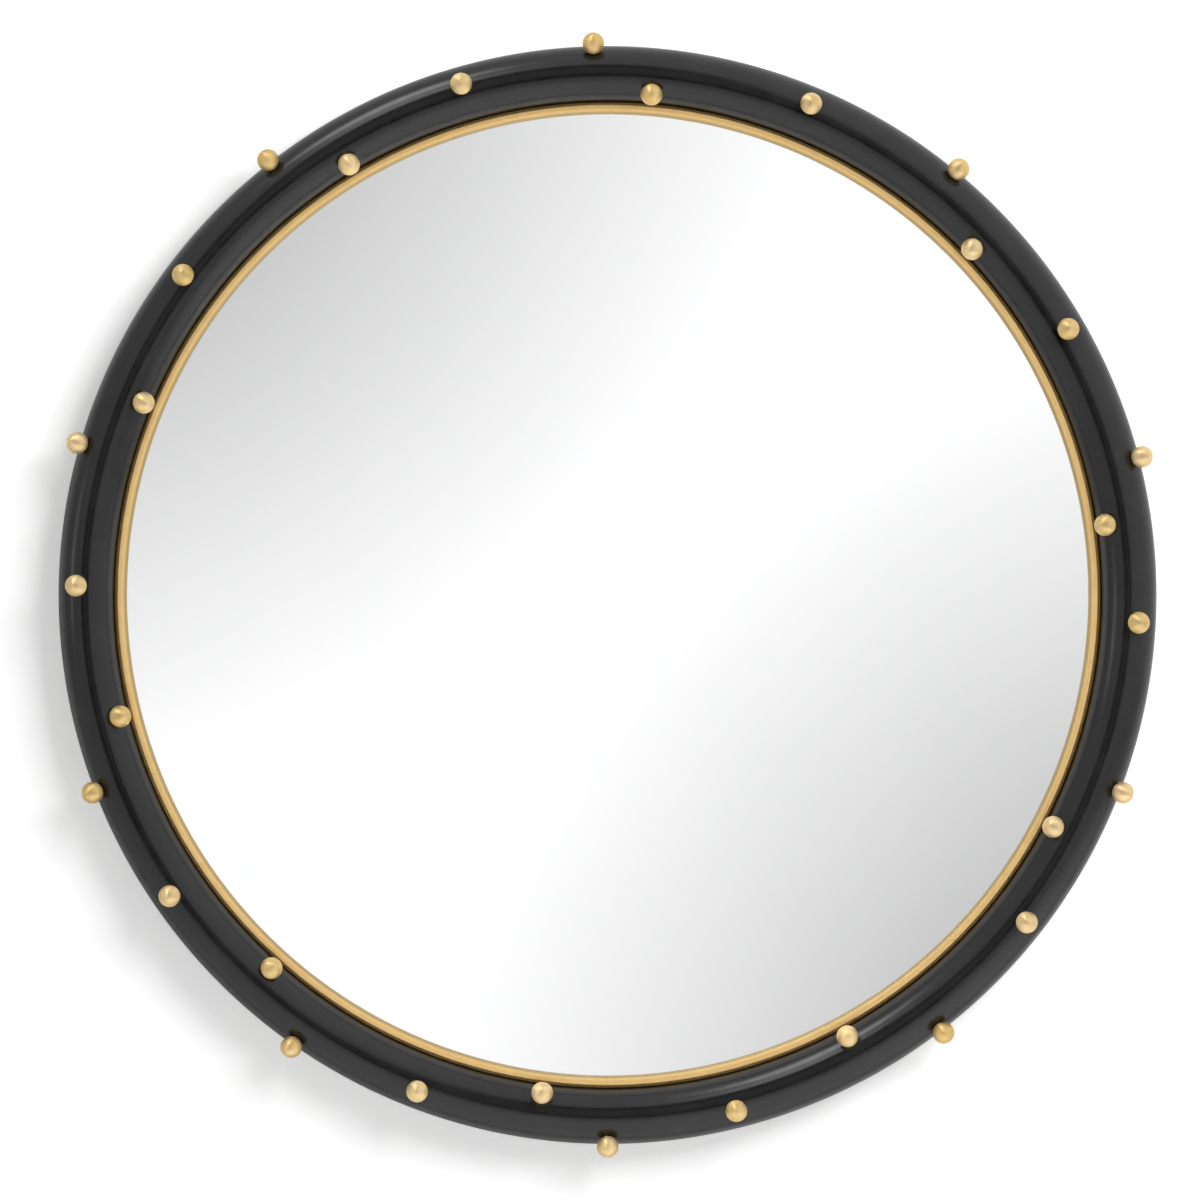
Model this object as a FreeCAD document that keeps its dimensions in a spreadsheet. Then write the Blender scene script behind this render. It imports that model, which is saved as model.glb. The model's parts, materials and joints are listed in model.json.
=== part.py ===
import FreeCAD, Part
import os

import Sketcher

# Round wall mirror: a half-round ring moulding dotted with brass balls, a brass liner round the glass,
# and a screwed back panel with two swinging hanger rings. The glass faces -Y and the wall is at +Y.
# The origin is the centre of the back panel's rear face, and +Z is up.

doc = FreeCAD.newDocument("round_mirror")

# Driving dimensions in millimetres and degrees
SIZES = (
    ("frame_diameter", 914, "outside of the ring moulding"),
    ("moulding_width", 47.3, "width of the half-round roll, seen from the front"),
    ("back_edge_round", 3, "rounding of the moulding's outer rear edge"),
    ("lip_overlap", 6.3, "how far the moulding's lip covers the liner flange"),
    ("rebate_clearance", 0.5, "gap between the rebate wall and what lies in it"),
    ("liner_width", 8.3, "width of the brass liner, seen from the front"),
    ("liner_gap", 0.9, "shadow line between the liner and the moulding's lip"),
    ("liner_rise", 6, "how far the liner stands in front of the moulding's lip"),
    ("fillet_width", 4, "flat outer strip of the liner"),
    ("fillet_step", 0.5, "step from the flat strip down to the liner's rounded inner edge"),
    ("fillet_edge", 2.2, "rounded outer edge of the flat strip"),
    ("flange_thickness", 2, "liner flange behind the lip"),
    ("glass_thickness", 4, "silvered plate"),
    ("glass_arris", 0.6, "ground edge of the plate"),
    ("pad_thickness", 8, "foam pad behind the glass"),
    ("pad_side", 25, "square foam pad"),
    ("pad_inset", 25.5, "glass edge to the middle of a pad"),
    ("pad_count", 8, "pads"),
    ("panel_margin", 12, "moulding's outside to the panel's edge"),
    ("panel_thickness", 6, "back panel"),
    ("panel_edge_chamfer", 1, "broken edge of the back panel"),
    ("panel_screw_count", 12, "screws round the panel"),
    ("screw_shank", 4, "shank of every wood screw"),
    ("screw_length", 24, "length of every wood screw"),
    ("screw_tip", 4, "tapered tip of every wood screw"),
    ("countersunk_head", 8, "head of a panel screw"),
    ("countersink_angle", 90, "angle of a panel screw's head"),
    ("pan_head", 8, "head of a hanger screw"),
    ("pan_head_height", 2.4, "head of a hanger screw"),
    ("hole_clearance", 0.05, "radial clearance of pins and screws in their holes"),
    ("hole_end_gap", 0.5, "space past the end of a pin or screw"),
    ("ball_diameter", 18, "brass ball"),
    ("ball_flat_land", 1.2, "width of the flat that a ball sits on, round its pin hole"),
    ("seat_gap", 0.05, "lacquer between the roll and a ball's flat"),
    ("pin_diameter", 4, "dowel pin of a ball"),
    ("pin_in_ball", 9, "length of the pin inside the ball"),
    ("pin_in_frame", 11, "length of the pin inside the roll"),
    ("outer_lean", 49, "tilt of the outer row from the roll's crown"),
    ("middle_lean", 12, "tilt of the middle row from the roll's crown"),
    ("inner_lean", -33, "tilt of the inner row from the roll's crown"),
    ("hanger_clock", 24.4, "angle of each hanger's screws above the mirror's centre line"),
    ("hanger_inset", 6.7, "rebate wall to the middle of each hanger's screws"),
    ("strap_thickness", 1.2, "steel strip of a hanger strap"),
    ("strap_width", 14, "hanger strap"),
    ("strap_tail", 7, "lower screw to the strap's lower end"),
    ("strap_corner", 5, "rounding of the strap's lower corners"),
    ("strap_bend", 45, "angle at which the folded layer leaves the eye"),
    ("hanger_screw_pitch", 11, "distance between the two screws of a strap"),
    ("ring_head_gap", 0.8, "gap between the lowered ring and the upper screw's head"),
    ("strap_hole_clearance", 0.3, "radial clearance of a screw in the strap"),
    ("wire_diameter", 4, "wire of a hanger ring"),
    ("eye_clearance", 0.2, "radial clearance of the wire in the eye"),
    ("ring_side_play", 0.5, "straight leg of the ring beyond each side of the strap"),
    ("ring_bend", 1, "inside radius of the bends between the ring's leg and its bow"),
    ("ring_stop_gap", 0.3, "gap between the resting ring and the panel"),
    ("bumper_diameter", 20, "rubber bumper"),
    ("bumper_thickness", 8, "distance between the panel and the wall"),
    ("bumper_edge", 1.5, "rounded edge of a bumper"),
    ("bumper_swing", 30, "angle of each bumper from straight below the centre"),
)

# Where the balls stand, as angles in degrees from the right-hand side, upwards first: they are set by eye
BALL_ROWS = {
    "outer": (14.5, 50.5, 91.5, 128, 164, 201, 235, 270, 307.5, 339),
    "middle": (30, 67.5, 106, 143, 179, 214.5, 249, 284, 322, 357),
    "inner": (8, 43.5, 85, 121, 157.5, 194, 228, 262.5, 298.5, 332.5),
}

sizes = doc.addObject("Spreadsheet::Sheet", "sizes")


def add_size(row, alias, value, note):
    """Write one driving dimension into the sheet."""
    sizes.set(f"A{row}", alias)
    sizes.set(f"B{row}", str(value))
    sizes.set(f"C{row}", note)
    sizes.setAlias(f"B{row}", alias)


for place, (alias, value, note) in enumerate(SIZES, start=1):
    add_size(place, alias, value, note)

next_row = len(SIZES) + 1
for row_name, clocks in BALL_ROWS.items():
    for number, clock in enumerate(clocks, start=1):
        add_size(next_row, f"{row_name}_clock_{number:02d}", clock, "angle of this ball round the ring")
        next_row += 1
doc.recompute()

# Radii from the mirror's axis
OUTER_RADIUS = "(sizes.frame_diameter / 2)"
ROLL_RADIUS = "(sizes.moulding_width / 2)"
ROLL_CIRCLE = f"({OUTER_RADIUS} - {ROLL_RADIUS})"
INNER_RADIUS = f"({OUTER_RADIUS} - sizes.moulding_width)"
REBATE_RADIUS = f"({INNER_RADIUS} + sizes.lip_overlap)"
GLASS_RADIUS = f"({REBATE_RADIUS} - sizes.rebate_clearance)"
LINER_OUTER = f"({INNER_RADIUS} - sizes.liner_gap)"
FILLET_INNER = f"({LINER_OUTER} - sizes.fillet_width)"
SIGHT_RADIUS = f"({LINER_OUTER} - sizes.liner_width)"

# Levels along Y, from the back panel's rear face towards the front
FRAME_BACK = "(-sizes.panel_thickness)"
GLASS_BACK = f"({FRAME_BACK} - sizes.pad_thickness)"
GLASS_FRONT = f"({GLASS_BACK} - sizes.glass_thickness)"
ROLL_PLANE = f"({GLASS_FRONT} - sizes.flange_thickness)"
LINER_TOP = f"({ROLL_PLANE} - sizes.liner_rise)"
FILLET_STEP = f"({LINER_TOP} + sizes.fillet_step)"

# Hanger sizes that follow from the strip and the wire
SHANK_RADIUS = "(sizes.screw_shank / 2)"
SCREW_HOLE_RADIUS = f"({SHANK_RADIUS} + sizes.hole_clearance)"
WIRE_RADIUS = "(sizes.wire_diameter / 2)"
EYE_BORE = f"({WIRE_RADIUS} + sizes.eye_clearance)"
EYE_RADIUS = f"({EYE_BORE} + sizes.strap_thickness)"
STRAP_STACK = "(2 * sizes.strap_thickness)"
RING_LEG = "(sizes.strap_width / 2 + sizes.ring_side_play)"
RING_CORNER = f"({WIRE_RADIUS} + sizes.ring_bend)"
RING_BOW = f"({RING_LEG} + {RING_CORNER})"
RING_REACH = f"({RING_BOW} + {RING_CORNER})"
RING_REST = f"asin(({EYE_RADIUS} - {WIRE_RADIUS} - sizes.ring_stop_gap) / {RING_REACH})"
UPPER_DROP = f"({RING_REACH} + {WIRE_RADIUS} + sizes.ring_head_gap + sizes.pan_head / 2)"
LOWER_DROP = f"({UPPER_DROP} + sizes.hanger_screw_pitch)"
SCREW_DROPS = (UPPER_DROP, LOWER_DROP)
STRAP_END = f"(-({LOWER_DROP} + sizes.strap_tail))"

# The middle of a strap's two screws stands over the solid part of the moulding, and the eye is above it
HANGER_CIRCLE = f"({REBATE_RADIUS} + sizes.hanger_inset)"
HANGER_ACROSS = f"({HANGER_CIRCLE} * cos(sizes.hanger_clock))"
EYE_LEVEL = f"({HANGER_CIRCLE} * sin(sizes.hanger_clock) + ({UPPER_DROP} + {LOWER_DROP}) / 2)"
SIDES = {"left": "-1", "right": "1"}

# Names for the sketch origin, an arc's centre, the two ways round and a length that counts as none
ORIGIN_POINT = (-1, 1)
CENTRE_INDEX = 3
ANTICLOCKWISE = True
CLOCKWISE = False
TINY = 1e-9

# Largest share of a strip's width that one rounded corner takes
CORNER_SHARE = 0.49


def number_of(expression):
    """Value of an expression as a plain number."""
    value = sizes.evalExpression(expression)
    return float(getattr(value, "Value", value))


def new_body(label):
    """Empty body that becomes one sub-part or the pattern for several."""
    body = doc.addObject("PartDesign::Body", label)
    body.Label = label
    return body


def new_sketch(body, name, plane_role, offset=None):
    """Sketch on one of the body's own origin planes, lifted by an expression along the plane's normal."""
    plane = next(item for item in body.Origin.OriginFeatures if item.Role == plane_role)
    sketch = body.newObject("Sketcher::SketchObject", name)
    sketch.AttachmentSupport = [(plane, "")]
    sketch.MapMode = "FlatFace"
    if offset:
        sketch.setExpression("AttachmentOffset.Base.z", offset)
    return sketch


def tie(sketch, geometry, position, kind, expression):
    """Dimension one coordinate of a point from the sketch origin by an expression."""
    dimension = Sketcher.Constraint(kind, *ORIGIN_POINT, geometry, position, number_of(expression))
    index = sketch.addConstraint(dimension)
    sketch.setExpression(f"Constraints[{index}]", expression)


def tie_across(sketch, geometry, position, expression):
    """Dimension a point sideways from the sketch origin."""
    tie(sketch, geometry, position, "DistanceX", expression)


def tie_upright(sketch, geometry, position, expression):
    """Dimension a point upwards from the sketch origin."""
    tie(sketch, geometry, position, "DistanceY", expression)


def draw_arc(sketch, start, finish, arc):
    """Arc from start to finish: its number in the sketch, and which of its ends are start and finish."""
    centre = FreeCAD.Vector(number_of(arc[0]), number_of(arc[1]), 0)
    circle = Part.Circle(centre, FreeCAD.Vector(0, 0, 1), (start - centre).Length)
    if arc[2] is ANTICLOCKWISE:
        edge = sketch.addGeometry(Part.ArcOfCircle(circle, circle.parameter(start), circle.parameter(finish)))
        return edge, 1, 2
    edge = sketch.addGeometry(Part.ArcOfCircle(circle, circle.parameter(finish), circle.parameter(start)))
    return edge, 2, 1


def draw_outline(sketch, corners):
    """Closed outline through corners (across, upright, arc).

    arc is None for a straight edge to the next corner, or (centre across, centre upright, turn) for a
    round one. Every corner is dimensioned, and an arc's centre where the two ends leave it free.
    """
    points = [FreeCAD.Vector(number_of(across), number_of(upright), 0) for across, upright, arc in corners]
    arcs = [arc for across, upright, arc in corners]
    edges = []
    for start, finish, arc in zip(points, points[1:] + points[:1], arcs):
        if arc:
            edges.append(draw_arc(sketch, start, finish, arc))
        else:
            edges.append((sketch.addGeometry(Part.LineSegment(start, finish)), 1, 2))
    for (edge, first, last), (follower, joint, far) in zip(edges, edges[1:] + edges[:1]):
        sketch.addConstraint(Sketcher.Constraint("Coincident", edge, last, follower, joint))
    for (edge, first, last), (across, upright, arc) in zip(edges, corners):
        tie_across(sketch, edge, first, across)
        tie_upright(sketch, edge, first, upright)
    for (edge, first, last), arc, start, finish in zip(edges, arcs, points, points[1:] + points[:1]):
        if arc and abs(finish.x - start.x) >= abs(finish.y - start.y):
            tie_upright(sketch, edge, CENTRE_INDEX, arc[1])
        elif arc:
            tie_across(sketch, edge, CENTRE_INDEX, arc[0])


def draw_circle(sketch, across, upright, radius):
    """Circle with its centre and radius given by expressions."""
    centre = FreeCAD.Vector(number_of(across), number_of(upright), 0)
    edge = sketch.addGeometry(Part.Circle(centre, FreeCAD.Vector(0, 0, 1), number_of(radius)))
    tie_across(sketch, edge, CENTRE_INDEX, across)
    tie_upright(sketch, edge, CENTRE_INDEX, upright)
    index = sketch.addConstraint(Sketcher.Constraint("Radius", edge, number_of(radius)))
    sketch.setExpression(f"Constraints[{index}]", radius)


def revolve(body, name, sketch):
    """Full turn of a sketch about its own upright axis."""
    feature = body.newObject("PartDesign::Revolution", name)
    feature.Profile = sketch
    feature.ReferenceAxis = (sketch, ["V_Axis"])
    feature.Angle = 360
    return feature


def pad(body, name, sketch, length):
    """Pad of a sketch along its normal."""
    feature = body.newObject("PartDesign::Pad", name)
    feature.Profile = sketch
    feature.setExpression("Length", length)
    return feature


def bore(body, name, sketch, depth, towards_front=True):
    """Blind or through holes from a sketch, compared by volume so that an empty cut shows."""
    doc.recompute()
    before = body.Shape.Volume
    feature = body.newObject("PartDesign::Pocket", name)
    feature.Profile = sketch
    feature.Reversed = towards_front
    feature.setExpression("Length", depth)
    doc.recompute()
    if body.Shape.Volume >= before:
        raise RuntimeError(f"{name} cuts nothing")
    return feature


def polar(body, name, feature, axis, count):
    """Repeat a feature evenly round an axis of its sketch."""
    pattern = body.newObject("PartDesign::PolarPattern", name)
    pattern.Originals = [feature]
    pattern.Axis = axis
    pattern.Angle = 360
    pattern.setExpression("Occurrences", count)
    body.Tip = pattern
    return pattern


def clone(source, label, placement):
    """Copy of a body that follows its source, placed by an expression."""
    body = new_body(label)
    base = doc.addObject("PartDesign::FeatureBase", label + "_base")
    base.BaseFeature = source
    body.Group = [base]
    body.Tip = base
    body.setExpression("Placement", placement)
    return body


def group(label, members):
    """Separate solids that share one sub-part."""
    compound = doc.addObject("Part::Compound", label)
    compound.Label = label
    compound.Links = members
    return compound


def at(across, depth, upright, turn="rotation(vector(1; 0; 0); 0)"):
    """Placement expression from three coordinates and a rotation."""
    return f"placement(vector({across}; {depth}; {upright}); {turn})"


def make_frame_blank():
    """Ring moulding: half-round roll on a rebated base, with the screw holes at its back."""
    body = new_body("frame_blank")
    section = new_sketch(body, "frame_section", "XY_Plane")
    round_end = f"({OUTER_RADIUS} - sizes.back_edge_round)"
    round_level = f"({FRAME_BACK} - sizes.back_edge_round)"
    draw_outline(section, (
        (REBATE_RADIUS, FRAME_BACK, None),
        (round_end, FRAME_BACK, (round_end, round_level, CLOCKWISE)),
        (OUTER_RADIUS, round_level, None),
        (OUTER_RADIUS, ROLL_PLANE, (ROLL_CIRCLE, ROLL_PLANE, CLOCKWISE)),
        (INNER_RADIUS, ROLL_PLANE, None),
        (REBATE_RADIUS, ROLL_PLANE, None),
    ))
    revolve(body, "frame_turning", section)
    depth = "(sizes.screw_length - sizes.panel_thickness + sizes.hole_end_gap)"
    pilot = new_sketch(body, "panel_screw_pilot", "XZ_Plane", "sizes.panel_thickness")
    draw_panel_screw_hole(pilot)
    hole = bore(body, "panel_screw_hole", pilot, depth)
    polar(body, "panel_screw_holes", hole, (pilot, ["N_Axis"]), "sizes.panel_screw_count")
    hanger_pilot = new_sketch(body, "hanger_screw_pilot", "XZ_Plane", "sizes.panel_thickness")
    draw_hanger_screw_holes(hanger_pilot)
    hanger_depth = f"({depth} - {STRAP_STACK})"
    bore(body, "hanger_screw_holes", hanger_pilot, hanger_depth)
    return body


def draw_panel_screw_hole(sketch):
    """First hole of the panel screws, half a step round from the right-hand side."""
    turn = "(180 / sizes.panel_screw_count)"
    draw_circle(sketch, f"{ROLL_CIRCLE} * cos({turn})", f"{ROLL_CIRCLE} * sin({turn})", SCREW_HOLE_RADIUS)


def draw_hanger_screw_holes(sketch):
    """Two holes below each eye."""
    for side in SIDES.values():
        for drop in SCREW_DROPS:
            draw_circle(sketch, f"{side} * {HANGER_ACROSS}", f"{EYE_LEVEL} - {drop}", SCREW_HOLE_RADIUS)


def make_liner():
    """Brass liner: a flat strip, a step down to a quarter-round, and a flange behind the lip."""
    body = new_body("brass_liner")
    section = new_sketch(body, "liner_section", "XY_Plane")
    edge_start = f"({LINER_TOP} + sizes.fillet_edge)"
    edge_end = f"({LINER_OUTER} - sizes.fillet_edge)"
    round_end = f"({FILLET_STEP} + {FILLET_INNER} - {SIGHT_RADIUS})"
    draw_outline(section, (
        (SIGHT_RADIUS, GLASS_FRONT, None),
        (GLASS_RADIUS, GLASS_FRONT, None),
        (GLASS_RADIUS, ROLL_PLANE, None),
        (LINER_OUTER, ROLL_PLANE, None),
        (LINER_OUTER, edge_start, (edge_end, edge_start, CLOCKWISE)),
        (edge_end, LINER_TOP, None),
        (FILLET_INNER, LINER_TOP, None),
        (FILLET_INNER, FILLET_STEP, (FILLET_INNER, round_end, CLOCKWISE)),
        (SIGHT_RADIUS, round_end, None),
    ))
    revolve(body, "liner_turning", section)
    return body


def make_glass():
    """Silvered plate with both edges ground."""
    body = new_body("mirror_glass")
    section = new_sketch(body, "glass_section", "XY_Plane")
    ground = f"({GLASS_RADIUS} - sizes.glass_arris)"
    draw_outline(section, (
        ("0", GLASS_BACK, None),
        (ground, GLASS_BACK, None),
        (GLASS_RADIUS, f"({GLASS_BACK} - sizes.glass_arris)", None),
        (GLASS_RADIUS, f"({GLASS_FRONT} + sizes.glass_arris)", None),
        (ground, GLASS_FRONT, None),
        ("0", GLASS_FRONT, None),
    ))
    revolve(body, "glass_plate", section)
    return body


def make_pads():
    """Foam pads that press the glass on to the liner."""
    body = new_body("cushion_pads")
    outline = new_sketch(body, "pad_outline", "XZ_Plane", "sizes.panel_thickness")
    half = "(sizes.pad_side / 2)"
    near = f"({GLASS_RADIUS} - sizes.pad_inset - {half})"
    far = f"({near} + sizes.pad_side)"
    draw_outline(outline, (
        (near, f"-{half}", None),
        (far, f"-{half}", None),
        (far, half, None),
        (near, half, None),
    ))
    foam = pad(body, "foam_pad", outline, "sizes.pad_thickness")
    polar(body, "foam_pads", foam, (outline, ["N_Axis"]), "sizes.pad_count")
    return body


def make_panel():
    """Back panel with a broken rear edge, countersunk holes and the hanger screw holes."""
    body = new_body("back_panel")
    section = new_sketch(body, "panel_section", "XY_Plane")
    radius = f"({OUTER_RADIUS} - sizes.panel_margin)"
    draw_outline(section, (
        ("0", "0", None),
        (f"({radius} - sizes.panel_edge_chamfer)", "0", None),
        (radius, "(-sizes.panel_edge_chamfer)", None),
        (radius, FRAME_BACK, None),
        ("0", FRAME_BACK, None),
    ))
    revolve(body, "panel_board", section)
    place = new_sketch(body, "panel_hole_place", "XZ_Plane")
    draw_panel_screw_hole(place)
    doc.recompute()
    before = body.Shape.Volume
    hole = body.newObject("PartDesign::Hole", "panel_hole")
    hole.Profile = place
    hole.Reversed = True
    hole.Threaded = False
    hole.DepthType = "ThroughAll"
    hole.HoleCutType = "Countersink"
    hole.setExpression("Diameter", f"2 * {SCREW_HOLE_RADIUS}")
    hole.setExpression("HoleCutDiameter", "sizes.countersunk_head + 2 * sizes.hole_clearance")
    hole.setExpression("HoleCutCountersinkAngle", "sizes.countersink_angle")
    doc.recompute()
    if body.Shape.Volume >= before:
        raise RuntimeError("panel_hole cuts nothing")
    polar(body, "panel_holes", hole, (place, ["N_Axis"]), "sizes.panel_screw_count")
    hanger_place = new_sketch(body, "panel_hanger_place", "XZ_Plane")
    draw_hanger_screw_holes(hanger_place)
    bore(body, "panel_hanger_holes", hanger_place, "sizes.panel_thickness")
    return body


def make_panel_screws():
    """Countersunk screws, flush with the panel's rear face."""
    blank = new_body("panel_screw_blank")
    section = new_sketch(blank, "panel_screw_section", "XZ_Plane")
    head = "(sizes.countersunk_head / 2)"
    draw_outline(section, (
        ("0", "0", None),
        ("0", "-sizes.screw_length", None),
        (SHANK_RADIUS, "(sizes.screw_tip - sizes.screw_length)", None),
        (SHANK_RADIUS, f"(({SHANK_RADIUS} - {head}) / tan(sizes.countersink_angle / 2))", None),
        (head, "0", None),
    ))
    revolve(blank, "panel_screw_turning", section)
    count = round(number_of("sizes.panel_screw_count"))
    screws = []
    for number in range(count):
        turn = f"rotation(vector(0; -1; 0); {2 * number + 1} * 180 / sizes.panel_screw_count)"
        seat = at(ROLL_CIRCLE, "0", "0", "rotation(vector(1; 0; 0); -90)")
        screws.append(clone(blank, f"panel_screw_{number + 1:02d}", f"{at('0', '0', '0', turn)} * {seat}"))
    return group("panel_screws", screws)


def make_ball_blank():
    """Turned ball with a parting flat and a blind hole for its pin, standing on the seat."""
    body = new_body("ball_blank")
    section = new_sketch(body, "ball_section", "XZ_Plane")
    hole = "(sizes.pin_diameter / 2 + sizes.hole_clearance)"
    hole_depth = "(sizes.pin_in_ball + sizes.hole_end_gap)"
    flat = f"({hole} + sizes.ball_flat_land)"
    radius = "(sizes.ball_diameter / 2)"
    centre = f"sqrt({radius} ^ 2 - {flat} ^ 2)"
    draw_outline(section, (
        (hole, "0", None),
        (flat, "0", ("0", centre, ANTICLOCKWISE)),
        ("0", f"({centre} + {radius})", None),
        ("0", hole_depth, None),
        (hole, hole_depth, None),
    ))
    revolve(body, "ball_turning", section)
    return body


def ball_seat(row_name, number):
    """Placement on the roll's surface, square to it: round the ring, out to the roll, then leaning."""
    turn = f"rotation(vector(0; -1; 0); sizes.{row_name}_clock_{number:02d})"
    lean = f"rotation(vector(0; 0; 1); sizes.{row_name}_lean)"
    outward = at("0", f"-({ROLL_RADIUS} + sizes.seat_gap)", "0", "rotation(vector(1; 0; 0); 90)")
    return f"{at('0', '0', '0', turn)} * {at(ROLL_CIRCLE, ROLL_PLANE, '0', lean)} * {outward}"


def make_peg(name, radius, below, above, seat):
    """Upright cylinder through a ball seat, from below the seat to above it."""
    peg = doc.addObject("Part::Cylinder", name)
    peg.setExpression("Radius", radius)
    peg.setExpression("Height", f"{below} + {above}")
    peg.setExpression("Placement", f"{seat} * {at('0', '0', f'-({below})')}")
    return peg


def make_balls():
    """Balls and pins of the three rows, and the drill shapes that cut the pin holes in the roll."""
    blank = make_ball_blank()
    pin_radius = "sizes.pin_diameter / 2"
    balls = []
    pins = []
    drills = []
    for row_name, clocks in BALL_ROWS.items():
        for number in range(1, len(clocks) + 1):
            seat = ball_seat(row_name, number)
            tail = f"{row_name}_{number:02d}"
            balls.append(clone(blank, f"ball_{tail}", seat))
            pins.append(make_peg(f"pin_{tail}", pin_radius, "sizes.pin_in_frame", "sizes.pin_in_ball", seat))
            drills.append(make_peg(f"drill_{tail}", f"{pin_radius} + sizes.hole_clearance",
                                   "(sizes.pin_in_frame + sizes.hole_end_gap)", "sizes.pin_in_ball", seat))
    return balls, group("ball_pins", pins), group("ball_drills", drills)


def make_frame(drills):
    """Finished moulding, drilled for the ball pins."""
    frame = doc.addObject("Part::Cut", "frame_ring")
    frame.Label = "frame_ring"
    frame.Base = make_frame_blank()
    frame.Tool = drills
    return frame


def make_strap_blank():
    """Steel strip folded round the ring's leg into an eye, both layers lying flat below it."""
    body = new_body("hanger_strap_blank")
    section = new_sketch(body, "strap_section", "YZ_Plane")
    thickness = "sizes.strap_thickness"
    fold_height = f"({EYE_RADIUS} + {{radius}} * cos(sizes.strap_bend))"
    fold_drop = "(-{radius} * sin(sizes.strap_bend))"
    landing = "({drop} - ({height} - {level}) / tan(sizes.strap_bend))"
    outer_height = fold_height.format(radius=EYE_RADIUS)
    outer_drop = fold_drop.format(radius=EYE_RADIUS)
    inner_height = fold_height.format(radius=EYE_BORE)
    inner_drop = fold_drop.format(radius=EYE_BORE)
    draw_outline(section, (
        ("0", STRAP_END, None),
        ("0", "0", (EYE_RADIUS, "0", CLOCKWISE)),
        (outer_height, outer_drop, None),
        (STRAP_STACK, landing.format(drop=outer_drop, height=outer_height, level=STRAP_STACK), None),
        (STRAP_STACK, STRAP_END, None),
    ))
    draw_outline(section, (
        (thickness, "0", (EYE_RADIUS, "0", CLOCKWISE)),
        (inner_height, inner_drop, None),
        (thickness, landing.format(drop=inner_drop, height=inner_height, level=thickness), None),
    ))
    strip = pad(body, "folded_strip", section, "sizes.strap_width")
    strip.SideType = "Symmetric"
    doc.recompute()
    tail = number_of(STRAP_END)
    corners = [
        f"Edge{place}"
        for place, edge in enumerate(strip.Shape.Edges, start=1)
        if all(abs(vertex.Z - tail) < TINY for vertex in edge.Vertexes)
        and abs(edge.Vertexes[0].X - edge.Vertexes[-1].X) < TINY
    ]
    rounding = body.newObject("PartDesign::Fillet", "strap_corners")
    rounding.Base = (strip, corners)
    rounding.setExpression("Radius", f"min(sizes.strap_corner; sizes.strap_width * {CORNER_SHARE})")
    holes = new_sketch(body, "strap_hole_places", "XZ_Plane")
    for drop in SCREW_DROPS:
        draw_circle(holes, "0", f"-{drop}", f"({SHANK_RADIUS} + sizes.strap_hole_clearance)")
    bore(body, "strap_holes", holes, STRAP_STACK, towards_front=False)
    return body


def make_ring_blank():
    """D-ring of round wire: a straight leg, two tight bends and a half-round bow."""
    body = new_body("hanger_ring_blank")
    path = new_sketch(body, "ring_path", "XZ_Plane")
    draw_outline(path, (
        ("0", "0", None),
        (RING_LEG, "0", (RING_LEG, RING_CORNER, ANTICLOCKWISE)),
        (RING_BOW, RING_CORNER, ("0", RING_CORNER, ANTICLOCKWISE)),
        (f"-{RING_BOW}", RING_CORNER, (f"-{RING_LEG}", RING_CORNER, ANTICLOCKWISE)),
        (f"-{RING_LEG}", "0", None),
    ))
    wire = new_sketch(body, "ring_wire", "YZ_Plane")
    draw_circle(wire, "0", "0", WIRE_RADIUS)
    doc.recompute()
    pipe = body.newObject("PartDesign::AdditivePipe", "bent_wire")
    pipe.Profile = wire
    pipe.Spine = (path, [])
    return body


def make_hanger_screw_blank():
    """Pan-head wood screw, its head's underside at the origin."""
    body = new_body("hanger_screw_blank")
    section = new_sketch(body, "hanger_screw_section", "XZ_Plane")
    head = "(sizes.pan_head / 2)"
    rise = "sizes.pan_head_height"
    rim = f"({rise} / 2)"
    dome = f"(({head} ^ 2 + {rim} ^ 2) / (2 * {rim}))"
    draw_outline(section, (
        ("0", "-sizes.screw_length", None),
        (SHANK_RADIUS, "(sizes.screw_tip - sizes.screw_length)", None),
        (SHANK_RADIUS, "0", None),
        (head, "0", None),
        (head, rim, ("0", f"({rise} - {dome})", ANTICLOCKWISE)),
        ("0", rise, None),
    ))
    revolve(body, "hanger_screw_turning", section)
    return body


def make_hangers():
    """Straps, swinging rings and screws of both hangers."""
    strap_blank = make_strap_blank()
    ring_blank = make_ring_blank()
    screw_blank = make_hanger_screw_blank()
    pieces = []
    screws = []
    for side, sign in SIDES.items():
        across = f"{sign} * {HANGER_ACROSS}"
        pieces.append(clone(strap_blank, f"hanger_strap_{side}", at(across, "0", EYE_LEVEL)))
        rest = f"rotation(vector(1; 0; 0); {RING_REST})"
        eye = at(across, EYE_RADIUS, EYE_LEVEL, rest)
        pieces.append(clone(ring_blank, f"hanger_ring_{side}", eye))
        for number, drop in enumerate(SCREW_DROPS, start=1):
            seat = at(across, STRAP_STACK, f"{EYE_LEVEL} - {drop}", "rotation(vector(1; 0; 0); -90)")
            screws.append(clone(screw_blank, f"hanger_screw_{side}_{number}", seat))
    return pieces + [group("hanger_screws", screws)]


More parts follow.
